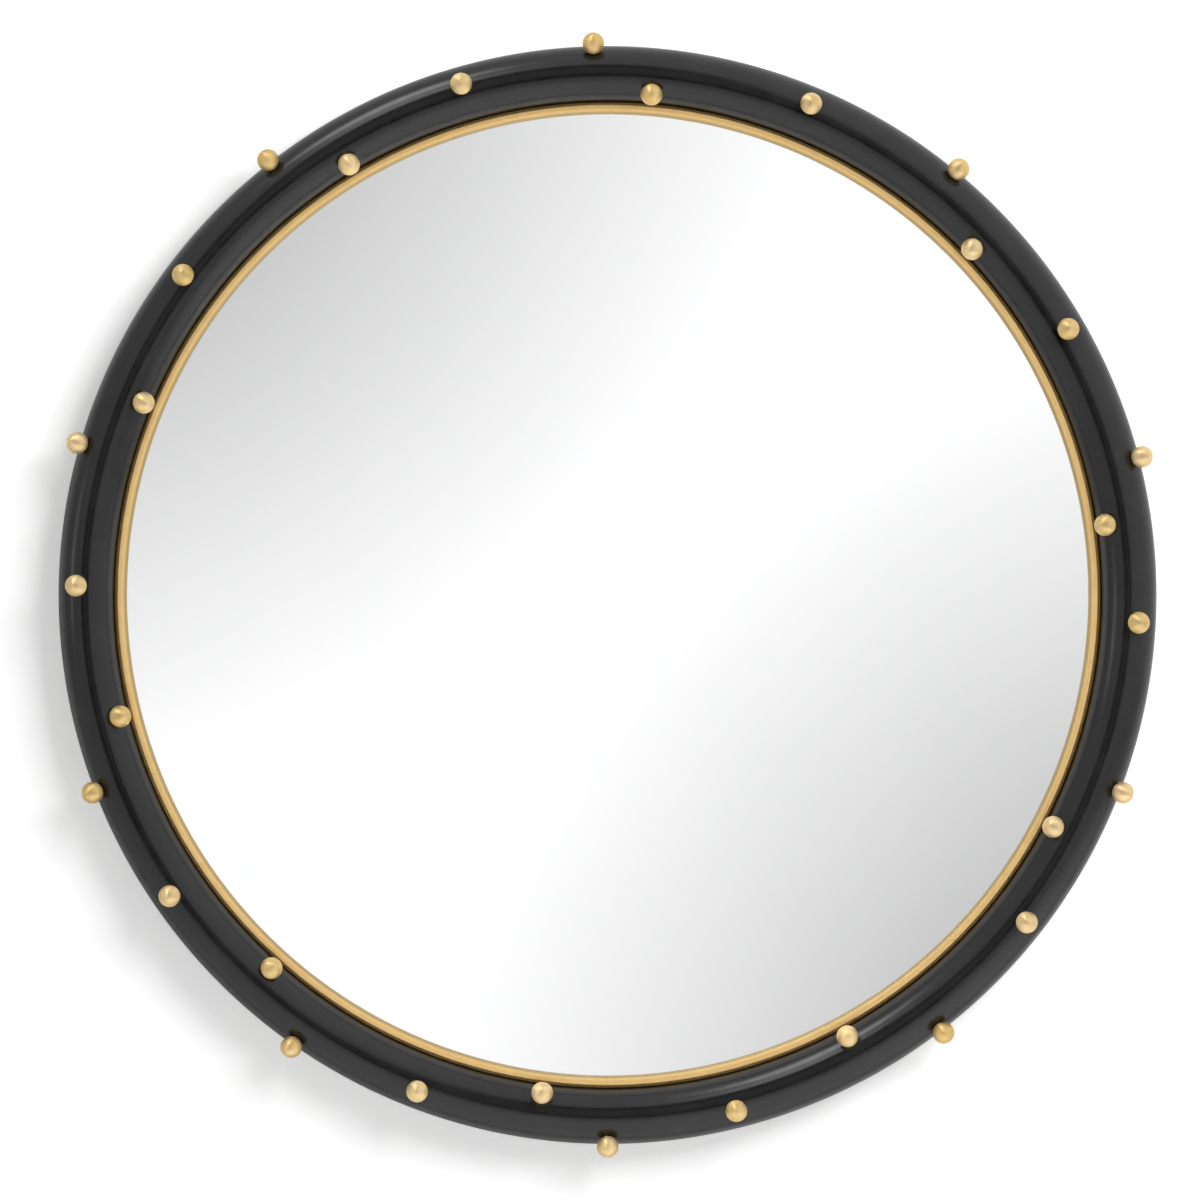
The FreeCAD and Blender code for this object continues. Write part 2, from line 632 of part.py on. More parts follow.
def make_bumpers():
    """Rubber bumpers on the panel, near the bottom."""
    blank = new_body("bumper_blank")
    section = new_sketch(blank, "bumper_section", "XY_Plane")
    radius = "(sizes.bumper_diameter / 2)"
    flat = f"({radius} - sizes.bumper_edge)"
    shoulder = "(sizes.bumper_thickness - sizes.bumper_edge)"
    draw_outline(section, (
        ("0", "0", None),
        (radius, "0", None),
        (radius, shoulder, (flat, shoulder, ANTICLOCKWISE)),
        (flat, "sizes.bumper_thickness", None),
        ("0", "sizes.bumper_thickness", None),
    ))
    revolve(blank, "bumper_moulding", section)
    pieces = []
    for side, sign in SIDES.items():
        across = f"{sign} * {ROLL_CIRCLE} * sin(sizes.bumper_swing)"
        upright = f"-{ROLL_CIRCLE} * cos(sizes.bumper_swing)"
        pieces.append(clone(blank, f"bumper_{side}", at(across, "0", upright)))
    return pieces


def check_and_write(pieces):
    """Stop on any failed object, then write each sub-part to its own file."""
    for item in doc.Objects:
        if "Invalid" in item.State or "Error" in item.State:
            raise RuntimeError(f"{item.Label} failed: {item.State}")
    for piece in pieces:
        if piece.Shape.isNull() or not piece.Shape.isValid() or not piece.Shape.Solids:
            raise RuntimeError(f"{piece.Label} has no valid solid")
    os.makedirs("parts", exist_ok=True)
    for piece in pieces:
        piece.Shape.exportStep(f"parts/{piece.Label}.step")
        print(piece.Label, len(piece.Shape.Solids), round(piece.Shape.Volume, 1))


balls, ball_pins, ball_drills = make_balls()
frame_ring = make_frame(ball_drills)
subparts = [frame_ring, make_liner(), make_glass(), make_pads(), make_panel(), make_panel_screws()]
subparts += [*balls, ball_pins, *make_hangers(), *make_bumpers()]
doc.recompute()
check_and_write(subparts)
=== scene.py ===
"""Looks of a round wall mirror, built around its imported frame.

The glass faces -Y, the wall stands at +Y and +Z is up. Lengths are metres and angles are degrees.
A clock angle starts at the right-hand side of the mirror, seen from the front, and goes upwards first.
"""

import functools
import json
import logging
import math
from collections.abc import Iterable, Sequence
from dataclasses import dataclass, field
from enum import Enum

import bmesh
import bpy
from mathutils import Matrix, Vector


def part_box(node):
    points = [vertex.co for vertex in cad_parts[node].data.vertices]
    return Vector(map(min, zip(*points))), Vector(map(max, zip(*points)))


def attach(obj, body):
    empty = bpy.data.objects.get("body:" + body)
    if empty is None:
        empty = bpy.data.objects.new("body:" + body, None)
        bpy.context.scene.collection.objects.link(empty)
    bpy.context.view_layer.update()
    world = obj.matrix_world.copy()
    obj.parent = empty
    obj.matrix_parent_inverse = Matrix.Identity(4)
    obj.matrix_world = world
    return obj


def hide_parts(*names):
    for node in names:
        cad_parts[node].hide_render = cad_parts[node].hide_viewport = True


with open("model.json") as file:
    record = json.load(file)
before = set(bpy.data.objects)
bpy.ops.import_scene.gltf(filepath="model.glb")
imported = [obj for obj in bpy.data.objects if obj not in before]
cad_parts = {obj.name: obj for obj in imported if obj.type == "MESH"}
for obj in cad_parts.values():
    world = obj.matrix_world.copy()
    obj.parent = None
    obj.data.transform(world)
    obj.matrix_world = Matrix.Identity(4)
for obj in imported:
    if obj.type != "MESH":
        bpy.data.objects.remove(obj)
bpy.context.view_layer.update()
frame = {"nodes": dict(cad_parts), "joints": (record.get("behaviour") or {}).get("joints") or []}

LOG = logging.getLogger("round_mirror")
ROOT_BODY = "mirror"
FRONT = Vector((0.0, -1.0, 0.0))
REAR = Vector((0.0, 1.0, 0.0))

# Names of the surface map and of the marks that the node trees read
TURNING_MAP = "turning"
STATION_AXIS = "station_axis"
STATION_SPIN = "station_spin"
STATION_TONE = "station_tone"

# Smallest length that counts, for joining corners and finding the axis
TINY = 1e-6
# Turn between two faces beyond which their edge stays sharp
SHARP_ANGLE = 32.0
# Spin from one copy to the next with which no two copies of a set lie alike
GOLDEN_ANGLE = 137.508

Colour = tuple[float, float, float]
Span = tuple[float, float]
Corner = tuple[float, float]
Station = tuple[Vector, Vector]
Socket = bpy.types.NodeSocket
Feed = Socket | float | int | bool | str | Sequence[float] | bpy.types.ID
Inputs = dict[str | int, Feed]


class Side(Enum):
    """Side of the mirror, seen from the front."""

    LEFT = -1
    RIGHT = 1

    @property
    def label(self) -> str:
        """Word used in the names of this side's pieces."""
        return self.name.lower()


class BallRow(Enum):
    """Rows of balls, with the tilt of each row from the roll's crown."""

    OUTER = 49.0
    MIDDLE = 12.0
    INNER = -33.0

    @property
    def prefix(self) -> str:
        """Start of the names of this row's nodes."""
        return f"ball_{self.name.lower()}_"


class HeadForm(Enum):
    """Forms of screw head."""

    COUNTERSUNK = "countersunk"
    PAN = "pan"


class NodeBench:
    """Short calls for building one node tree."""

    # Numbers of a mixing node's sockets by what it mixes: the first value, the second and the result
    MIX_SOCKETS = {"FLOAT": (2, 3, 0), "RGBA": (6, 7, 2)}
    # Values between which most of a soft random pattern lies
    PATTERN_SPAN = (0.3, 0.7)

    def __init__(self, tree: bpy.types.NodeTree) -> None:
        """Clear a node tree and work on it."""
        self.tree = tree
        tree.nodes.clear()

    def feed(self, socket: Socket, value: Feed) -> None:
        """Link a socket to another node, or set its own value.

        Args:
            socket: The input to fill.
            value: An output of another node, or a plain value.
        """
        if isinstance(value, Socket):
            self.tree.links.new(value, socket)
        elif socket.type == "RGBA":
            socket.default_value = (*value, 1.0)
        else:
            socket.default_value = value

    def node(self, kind: str, inputs: Inputs | None = None, **settings: object) -> bpy.types.Node:
        """Add one node.

        Args:
            kind: The node's type name.
            inputs: What to feed to which input.
            settings: Properties to set on the node.

        Returns:
            The new node.
        """
        made = self.tree.nodes.new(kind)
        for name, value in settings.items():
            setattr(made, name, value)
        for key, value in (inputs or {}).items():
            self.feed(made.inputs[key], value)
        return made

    def math(self, operation: str, *operands: Feed) -> Socket:
        """Result of one sum on plain numbers."""
        return self.node("ShaderNodeMath", dict(enumerate(operands)), operation=operation).outputs[0]

    def ease(self, value: Feed, ends: Span, levels: Span = (0.0, 1.0), form: str = "SMOOTHSTEP") -> Socket:
        """Step from one level to another while a value goes from one end to another."""
        inputs = dict(zip(("Value", "From Min", "From Max", "To Min", "To Max"), (value, *ends, *levels)))
        return self.node("ShaderNodeMapRange", inputs, interpolation_type=form).outputs[0]

    def spread(self, pattern: Socket, levels: Span = (0.0, 1.0)) -> Socket:
        """Soft random pattern spread out from one level to another."""
        return self.ease(pattern, self.PATTERN_SPAN, levels)

    def blend(self, share: float, first: Socket, second: Socket) -> Socket:
        """Sum of a share of one pattern and the rest of another."""
        return self.math("MULTIPLY_ADD", first, share, self.math("MULTIPLY", second, 1.0 - share))

    def mix(self, share: Feed, first: Feed, second: Feed, kind: str = "RGBA") -> Socket:
        """Value between two others, which are colours unless their kind says otherwise.

        Args:
            share: Share of the second value, from 0 to 1.
            first: Value at no share.
            second: Value at the full share.
            kind: What is mixed, as a key of MIX_SOCKETS.

        Returns:
            The value between them.
        """
        one, two, result = self.MIX_SOCKETS[kind]
        inputs = {0: share, one: first, two: second}
        return self.node("ShaderNodeMix", inputs, data_type=kind).outputs[result]

    def pick(self, choice: Socket, chosen: Feed, otherwise: Feed) -> Socket:
        """One of two numbers, by a choice of 1 or 0."""
        return self.mix(choice, otherwise, chosen, "FLOAT")

    def measure(self, operation: str, *vectors: Feed) -> Socket:
        """Number worked out from vectors."""
        made = self.node("ShaderNodeVectorMath", dict(enumerate(vectors)), operation=operation)
        return made.outputs["Value"]

    def place(self) -> Socket:
        """Coordinates of the object itself."""
        return self.node("ShaderNodeTexCoord").outputs["Object"]

    def axis_distance(self) -> Socket:
        """Distance from the mirror's axis."""
        return self.measure("LENGTH", self.stretched(self.place(), (1.0, 0.0, 1.0)))

    def stretched(self, vector: Socket, scale: Sequence[float]) -> Socket:
        """Coordinates scaled by a factor along each axis."""
        return self.node("ShaderNodeMapping", {"Vector": vector, "Scale": scale}).outputs[0]

    def noise(self, vector: Socket, scale: float = 1.0, detail: float = 2.0) -> Socket:
        """Soft random pattern, from 0 to 1."""
        inputs = {"Vector": vector, "Scale": scale, "Detail": detail}
        return self.node("ShaderNodeTexNoise", inputs).outputs[0]

    def bump(self, height: Socket, depth: float) -> Socket:
        """Surface normal of a relief of some depth in metres."""
        return self.node("ShaderNodeBump", {"Height": height, "Distance": depth}).outputs[0]

    def surface(self, inputs: Inputs) -> None:
        """End the tree in one surface shader."""
        shader = self.node("ShaderNodeBsdfPrincipled", inputs)
        self.node("ShaderNodeOutputMaterial", {"Surface": shader.outputs[0]})


@dataclass(frozen=True)
class Finish:
    """One surface finish.

    Attributes:
        name: Name of the finish.
    """

    name: str

    @functools.cache
    def make(self) -> bpy.types.Material:
        """Build the finish once, and give the same material to every piece that has it.

        Returns:
            The material.
        """
        material = bpy.data.materials.new(self.name)
        material.use_nodes = True
        self.shade(NodeBench(material.node_tree))
        return material

    def shade(self, bench: NodeBench) -> None:
        """Fill the finish's node tree."""
        raise NotImplementedError


@dataclass(frozen=True)
class BlackLacquer(Finish):
    """Satin black lacquer sprayed over turned wood, matt at the back where the spray fell thin.

    Attributes:
        name: Name of the finish.
        pigment: Colour of the full coat.
        thin_coat: Colour where the coat is a little thinner.
        cloud_grain: Thinner places per metre.
        cloud_span: Part of their pattern over which the coat thins.
        roughness: Satin of the front, from its smoothest to its dullest place.
        satin_grain: Duller places per metre.
        back_roughness: Matt of the rear face.
        back_depth: Depths at which the front's satin ends and the rear face's matt is full.
        peel: Depth of the fine orange-peel waves.
        peel_grain: Waves per metre.
    """

    name: str = "satin_lacquer"
    pigment: Colour = (0.0065, 0.0065, 0.0070)
    thin_coat: Colour = (0.0105, 0.0103, 0.0105)
    cloud_grain: float = 34.0
    cloud_span: Span = (0.35, 0.7)
    roughness: Span = (0.16, 0.21)
    satin_grain: float = 90.0
    back_roughness: float = 0.55
    back_depth: Span = (-0.0068, -0.0064)
    peel: float = 0.000012
    peel_grain: float = 260.0

    def shade(self, bench: NodeBench) -> None:
        """Fill the finish's node tree.

        Args:
            bench: The tree to fill.
        """
        place = bench.place()
        clouds = bench.noise(place, self.cloud_grain, detail=3.0)
        satin = bench.spread(bench.noise(place, self.satin_grain), self.roughness)
        depth = bench.node("ShaderNodeSeparateXYZ", {0: place}).outputs["Y"]
        matt = bench.math("MULTIPLY", bench.ease(depth, self.back_depth), self.back_roughness)
        bench.surface({
            "Base Color": bench.mix(bench.ease(clouds, self.cloud_span), self.pigment, self.thin_coat),
            "Roughness": bench.math("MAXIMUM", satin, matt),
            "Normal": bench.bump(bench.noise(place, self.peel_grain, detail=1.0), self.peel),
        })


@dataclass(frozen=True)
class TurnedBrass(Finish):
    """Satin brass with fine lathe marks that run along the surface map's first direction.

    Attributes:
        name: Name of the finish.
        bright: Colour on the ridges of the marks.
        deep: Colour in the marks and where the lacquer over the brass is thicker.
        roughness: Satin, from the brightest to the dullest mark.
        marks: Lathe marks per unit of the map, along and across the turning direction.
        anisotropy: How far the marks draw out a highlight.
        drawn_turn: Direction in which they draw it out, as a share of a full turn from the marks.
        toned: Whether each piece of the set has a tone of its own.
        aged_reach: Distances from the mirror's axis at which the painted shade is full and has ended.
        aged: Darker colour painted next to the glass as shade, not a colour of the brass itself.
        relief: Depth of the marks.
        cloud_grain: Patches of thicker lacquer per metre.
        cloud_share: Share of those patches in the colour, beside the marks.
    """

    name: str
    bright: Colour
    deep: Colour
    roughness: Span
    marks: Span
    anisotropy: float
    drawn_turn: float = 0.0
    toned: bool = False
    aged_reach: Span | None = None
    aged: Colour = (0.58, 0.43, 0.21)
    relief: float = 0.000004
    cloud_grain: float = 120.0
    cloud_share: float = 0.5

    def shade(self, bench: NodeBench) -> None:
        """Fill the finish's node tree.

        Args:
            bench: The tree to fill.
        """
        surface = bench.node("ShaderNodeUVMap", uv_map=TURNING_MAP).outputs[0]
        lines = bench.noise(bench.stretched(surface, (*self.marks, 1.0)), detail=3.0)
        share = bench.blend(self.cloud_share, bench.noise(bench.place(), self.cloud_grain), lines)
        if self.toned:
            tone = bench.node("ShaderNodeAttribute", attribute_name=STATION_TONE).outputs["Fac"]
            share = bench.math("ADD", share, tone)
        colour = bench.mix(bench.spread(share), self.deep, self.bright)
        # Painted shade: the brass is darkened towards the glass to stand in for shade there.
        if self.aged_reach:
            colour = bench.mix(bench.ease(bench.axis_distance(), self.aged_reach), self.aged, colour)
        along = bench.node("ShaderNodeTangent", direction_type="UV_MAP", uv_map=TURNING_MAP).outputs[0]
        bench.surface({
            "Base Color": colour,
            "Metallic": 1.0,
            "Roughness": bench.spread(lines, self.roughness),
            "Anisotropic": self.anisotropy,
            "Anisotropic Rotation": self.drawn_turn,
            "Tangent": along,
            "Normal": bench.bump(lines, self.relief),
        })


@dataclass(frozen=True)
class SilveredGlass(Finish):
    """Polished glass with silver behind it.

    Attributes:
        name: Name of the finish.
        silver: Colour that the silver gives back.
        faded: Colour where the silver is a trace thinner.
        cloud_grain: Thinner places per metre.
    """

    name: str = "silvered_plate"
    silver: Colour = (0.962, 0.966, 0.964)
    faded: Colour = (0.950, 0.955, 0.953)
    cloud_grain: float = 6.0

    def shade(self, bench: NodeBench) -> None:
        """Fill the finish's node tree.

        Args:
            bench: The tree to fill.
        """
        clouds = bench.noise(bench.place(), self.cloud_grain, detail=3.0)
        bench.surface({
            "Base Color": bench.mix(bench.spread(clouds), self.silver, self.faded),
            "Metallic": 1.0,
            "Roughness": 0.0,
        })


@dataclass(frozen=True)
class GroundGlass(Finish):
    """Ground edge of the plate, pale green and dull.

    Attributes:
        name: Name of the finish.
        pale: Colour of the ground glass.
        green: Colour deeper in the edge.
        grain: Ground specks per metre.
        grain_span: Part of their pattern over which the edge turns duller.
        roughness: Dullness, from its smoothest to its dullest speck.
        relief: Depth of the specks.
    """

    name: str = "ground_glass"
    pale: Colour = (0.66, 0.78, 0.72)
    green: Colour = (0.42, 0.60, 0.50)
    grain: float = 900.0
    grain_span: Span = (0.2, 0.8)
    roughness: Span = (0.4, 0.6)
    relief: float = 0.00002

    def shade(self, bench: NodeBench) -> None:
        """Fill the finish's node tree.

        Args:
            bench: The tree to fill.
        """
        specks = bench.noise(bench.place(), self.grain, detail=3.0)
        bench.surface({
            "Base Color": bench.mix(specks, self.green, self.pale),
            "Roughness": bench.ease(specks, self.grain_span, self.roughness),
            "Normal": bench.bump(specks, self.relief),
        })


@dataclass(frozen=True)
class SpeckledCoat(Finish):
    """Dull coat with a fine speckle, such as paint, rubber or foam.

    Attributes:
        name: Name of the finish.
        dark: Darkest colour.
        light: Lightest colour.
        grain: Speckles per metre.
        roughness: Gloss, from its smoothest to its dullest place.
        relief: Depth of the grain.
        cloud_size: Speckles across one cloud.
        speckle_share: Share of the speckles in the colour, beside the clouds.
    """

    name: str
    dark: Colour
    light: Colour
    grain: float = 900.0
    roughness: Span = (0.5, 0.7)
    relief: float = 0.00004
    cloud_size: float = 25.0
    speckle_share: float = 0.6

    def shade(self, bench: NodeBench) -> None:
        """Fill the finish's node tree.

        Args:
            bench: The tree to fill.
        """
        place = bench.place()
        speckle = bench.noise(place, self.grain, detail=3.0)
        clouds = bench.noise(place, self.grain / self.cloud_size)
        share = bench.blend(self.speckle_share, speckle, clouds)
        bench.surface({
            "Base Color": bench.mix(bench.spread(share), self.dark, self.light),
            "Roughness": bench.spread(clouds, self.roughness),
            "Normal": bench.bump(speckle, self.relief),
        })


@dataclass(frozen=True)
class Fibreboard(Finish):
    """Bare fibreboard: pressed wood dust with longer fibres, darker along its sawn rim.

    Attributes:
        name: Name of the finish.
        dust: Main colour of the board.
        fibre: Colour of the paler fibres.
        fleck: Colour of the dark flecks.
        sawn: Colour of the sawn rim.
        sawn_reach: Distances from the mirror's axis at which the sawn colour starts and is full.
        bend: How far the fibres wander.
        bend_grain: Bends per metre.
        strand_grain: Fibres per metre along each axis, for those that lie level.
        upright_grain: Fibres per metre along each axis, for those that stand upright.
        fibre_span: Part of the fibres' pattern over which dust turns to fibre.
        fleck_grain: Flecks per metre.
        fleck_span: Part of the flecks' pattern over which a fleck comes in.
        fleck_share: Strength of a fleck.
        cloud_grain: Paler places per metre.
        cloud_span: Part of their pattern over which a paler place comes in.
        cloud_share: Strength of a paler place.
        rough_span: Part of the fibres' pattern over which the board turns duller.
        roughness: Dullness, from the smoothest to the dullest fibre.
        relief: Depth of the fibres.
    """

    name: str = "bare_fibreboard"
    dust: Colour = (0.330, 0.222, 0.136)
    fibre: Colour = (0.470, 0.345, 0.225)
    fleck: Colour = (0.170, 0.105, 0.060)
    sawn: Colour = (0.150, 0.092, 0.052)
    sawn_reach: Span = (0.441, 0.4442)
    bend: float = 0.03
    bend_grain: float = 70.0
    strand_grain: tuple[float, float, float] = (190.0, 600.0, 1100.0)
    upright_grain: tuple[float, float, float] = (1000.0, 600.0, 170.0)
    fibre_span: Span = (0.54, 0.74)
    fleck_grain: float = 650.0
    fleck_span: Span = (0.62, 0.74)
    fleck_share: float = 0.7
    cloud_grain: float = 9.0
    cloud_span: Span = (0.3, 0.75)
    cloud_share: float = 0.22
    rough_span: Span = (0.4, 0.8)
    roughness: Span = (0.62, 0.8)
    relief: float = 0.00006

    def wander(self, bench: NodeBench, place: Socket) -> Socket:
        """Bend coordinates at random, so that the fibres don't lie straight.

        Args:
            bench: The finish's node tree.
            place: The straight coordinates.

        Returns:
            The bent coordinates.
        """
        bends = bench.noise(place, self.bend_grain).node.outputs["Color"]
        inputs = {0: bends, 1: (self.bend,) * 3, 2: place}
        return bench.node("ShaderNodeVectorMath", inputs, operation="MULTIPLY_ADD").outputs[0]

    def shade(self, bench: NodeBench) -> None:
        """Fill the finish's node tree.

        Args:
            bench: The tree to fill.
        """
        place = bench.place()
        wavy = self.wander(bench, place)
        strands = bench.noise(bench.stretched(wavy, self.strand_grain), detail=3.0)
        upright = bench.noise(bench.stretched(wavy, self.upright_grain), detail=3.0)
        fibres = bench.math("MAXIMUM", strands, upright)
        flecks = bench.ease(bench.noise(place, self.fleck_grain), self.fleck_span, (0.0, self.fleck_share))
        clouds = bench.noise(place, self.cloud_grain, detail=3.0)
        board = bench.mix(bench.ease(fibres, self.fibre_span), self.dust, self.fibre)
        board = bench.mix(flecks, board, self.fleck)
        board = bench.mix(bench.ease(clouds, self.cloud_span, (0.0, self.cloud_share)), board, self.fibre)
        bench.surface({
            "Base Color": bench.mix(bench.ease(bench.axis_distance(), self.sawn_reach), board, self.sawn),
            "Roughness": bench.ease(fibres, self.rough_span, self.roughness),
            "Specular IOR Level": 0.3,
            "Normal": bench.bump(fibres, self.relief),
        })


@dataclass(frozen=True)
class ZincPlate(Finish):
    """Bright zinc over steel, with the faint clouds of its bath.

    Attributes:
        name: Name of the finish.
        bright: Colour of the clear plate.
        clouded: Colour of the clouds.
        roughness: Gloss, from its smoothest to its dullest place.
        cloud_grain: Clouds per metre.
        cloud_span: Part of their pattern over which a cloud comes in.
        grain: Crystals per metre.
        relief: Depth of the crystals.
    """

    name: str = "zinc_plate"
    bright: Colour = (0.70, 0.71, 0.71)
    clouded: Colour = (0.56, 0.56, 0.545)
    roughness: Span = (0.24, 0.42)
    cloud_grain: float = 240.0
    cloud_span: Span = (0.35, 0.65)
    grain: float = 2600.0
    relief: float = 0.000006

    def shade(self, bench: NodeBench) -> None:
        """Fill the finish's node tree.

        Args:
            bench: The tree to fill.
        """
        place = bench.place()
        clouds = bench.noise(place, self.cloud_grain, detail=3.0)
        bench.surface({
            "Base Color": bench.mix(bench.ease(clouds, self.cloud_span), self.bright, self.clouded),
            "Metallic": 1.0,
            "Roughness": bench.spread(clouds, self.roughness),
            "Normal": bench.bump(bench.noise(place, self.grain), self.relief),
        })


LACQUER = BlackLacquer()
TRIM_BRASS = TurnedBrass(
    "satin_trim",
    bright=(1.0, 0.715, 0.325),
    deep=(0.93, 0.65, 0.27),
    roughness=(0.5, 0.6),
    marks=(6.0, 1600.0),
    anisotropy=0.2,
    # Painted shade darkens the trim towards the glass within this reach.
    aged_reach=(0.4014, 0.4043),
)
BALL_BRASS = TurnedBrass(
    "satin_ball",
    bright=(0.91, 0.695, 0.385),
    deep=(0.775, 0.55, 0.215),
    roughness=(0.39, 0.52),
    marks=(5.0, 22.0),
    anisotropy=0.8,
    drawn_turn=0.25,
    toned=True,
)
SILVERED_GLASS = SilveredGlass()
GROUND_GLASS = GroundGlass()
BACKING_PAINT = SpeckledCoat(
    "backing_paint",
    dark=(0.16, 0.17, 0.18),
    light=(0.24, 0.25, 0.26),
    roughness=(0.45, 0.6),
)
FIBREBOARD = Fibreboard()
ZINC_PLATE = ZincPlate()
RUBBER = SpeckledCoat(
    "moulded_rubber",
    dark=(0.016, 0.016, 0.016),
    light=(0.034, 0.034, 0.033),
    grain=1400.0,
    roughness=(0.55, 0.75),
)
FOAM = SpeckledCoat(
    "closed_cell_foam",
    dark=(0.05, 0.05, 0.05),
    light=(0.11, 0.11, 0.108),
    grain=1800.0,
    roughness=(0.75, 0.9),
    relief=0.0001,
)


def arc(centre: Corner, radius: float, start: float, finish: float, steps: int) -> list[Corner]:
    """Points along a round stretch of a section.

    Args:
        centre: Middle of the arc.
        radius: Radius of the arc.
        start: First angle.
        finish: Last angle.
        steps: Straight pieces that the arc is drawn with.

    Returns:
        The points, with both ends.
    """
    angles = [math.radians(start + (finish - start) * step / steps) for step in range(steps + 1)]
    return [(centre[0] + radius * math.cos(angle), centre[1] + radius * math.sin(angle)) for angle in angles]


def spoke(clock: float) -> Vector:
    """Direction across the mirror at a clock angle."""
    return Vector((math.cos(math.radians(clock)), 0.0, math.sin(math.radians(clock))))


def link_object(name: str, data: bpy.types.ID) -> bpy.types.Object:
    """Put a mesh, lamp or camera into the scene, at the origin.

    Args:
        name: Name of the object.
        data: The mesh, lamp or camera.

    Returns:
        The object.
    """
    made = bpy.data.objects.new(name, data)
    bpy.context.scene.collection.objects.link(made)
    return made


def mesh_of(shape: bmesh.types.BMesh, name: str) -> bpy.types.Mesh:
    """Keep a finished shape as a mesh.

    Args:
        shape: The shape, which is freed.
        name: Name of the mesh.

    Returns:
        The mesh.
    """
    mesh = bpy.data.meshes.new(name)
    shape.to_mesh(mesh)
    shape.free()
    return mesh


def neighbours(loop: Sequence) -> Iterable[tuple]:
    """Each member of a closed loop together with the one after it."""
    return zip(loop, [*loop[1:], loop[0]])


def bridge(shape: bmesh.types.BMesh, one: Sequence, two: Sequence) -> None:
    """Join two loops of as many points with a band of faces."""
    for (first, second), (third, fourth) in zip(neighbours(one), neighbours(two)):
        shape.faces.new((first, second, fourth, third))


def smooth_faces(mesh: bpy.types.Mesh, sharp: float = SHARP_ANGLE) -> None:
    """Shade a mesh smooth, apart from edges that turn by more than an angle."""
    mesh.shade_smooth()
    mesh.set_sharp_from_angle(angle=math.radians(sharp))


def settle(piece: bpy.types.Object, body: str, nodes: Iterable[str]) -> None:
    """Fix a finished piece to its body in place of its nodes, and report it.

    Args:
        piece: The finished piece.
        body: Body that carries it.
        nodes: Nodes that it stands for.
    """
    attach(piece, body)
    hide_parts(*nodes)
    LOG.info("%s rides on %s, %d faces", piece.name, body, len(piece.data.polygons))


@dataclass
class Turning:
    """A section turned about an axis along Y.

    Attributes:
        section: Corners of the section as (radius, depth), in order.
        closed: Whether the last corner joins the first.
        segments: Facets round the axis.
        centre: Point of the axis at depth zero.
        bands: Number of the finish on each stretch of the section, or nothing for one finish.
    """

    section: Sequence[Corner]
    closed: bool
    segments: int = 360
    centre: Vector = field(default_factory=Vector)
    bands: Sequence[int] = ()

    def rings(self, shape: bmesh.types.BMesh) -> list[list[bmesh.types.BMVert]]:
        """Set out the corner points of each ring.

        Args:
            shape: The shape that takes the points.

        Returns:
            The points ring by ring, with one shared point where a ring shrinks to the axis.
        """
        turns = [2.0 * math.pi * step / self.segments for step in range(self.segments)]
        found = []
        for radius, depth in self.section:
            if radius < TINY:
                found.append([shape.verts.new(self.centre + REAR * depth)] * self.segments)
                continue
            spots = [Vector((radius * math.cos(turn), depth, radius * math.sin(turn))) for turn in turns]
            found.append([shape.verts.new(self.centre + spot) for spot in spots])
        return found

    def mesh(self, name: str) -> bpy.types.Mesh:
        """Turn the section.

        Args:
            name: Name of the mesh.

        Returns:
            The mesh, with a map whose first direction runs round the axis.
        """
        shape = bmesh.new()
        turning = shape.loops.layers.uv.new(TURNING_MAP)
        rings = self.rings(shape)
        mean_radius = sum(radius for radius, depth in self.section) / len(self.section)
        around = 2.0 * math.pi * mean_radius / self.segments
        spans = len(rings) if self.closed else len(rings) - 1
        run = 0.0
        for span in range(spans):
            after = (span + 1) % len(rings)
            step = math.dist(self.section[span], self.section[after])
            for turn in range(self.segments):
                following = (turn + 1) % self.segments
                corners = {
                    rings[span][turn]: (turn * around, run),
                    rings[span][following]: ((turn + 1) * around, run),
                    rings[after][following]: ((turn + 1) * around, run + step),
                    rings[after][turn]: (turn * around, run + step),
                }
                face = shape.faces.new(corners)
                face.material_index = self.bands[span] if self.bands else 0
                for loop in face.loops:
                    loop[turning].uv = corners[loop.vert]
            run += step
        bmesh.ops.recalc_face_normals(shape, faces=shape.faces)
        made = mesh_of(shape, name)
        smooth_faces(made)
        return made

    def piece(self, name: str, *finishes: Finish) -> bpy.types.Object:
        """Turn the section into an object.

        Args:
            name: Name of the object.
            finishes: Its finishes, in the order of the bands' numbers.

        Returns:
            The object.
        """
        mesh = self.mesh(name)
        for finish in finishes:
            mesh.materials.append(finish.make())
        return link_object(name, mesh)


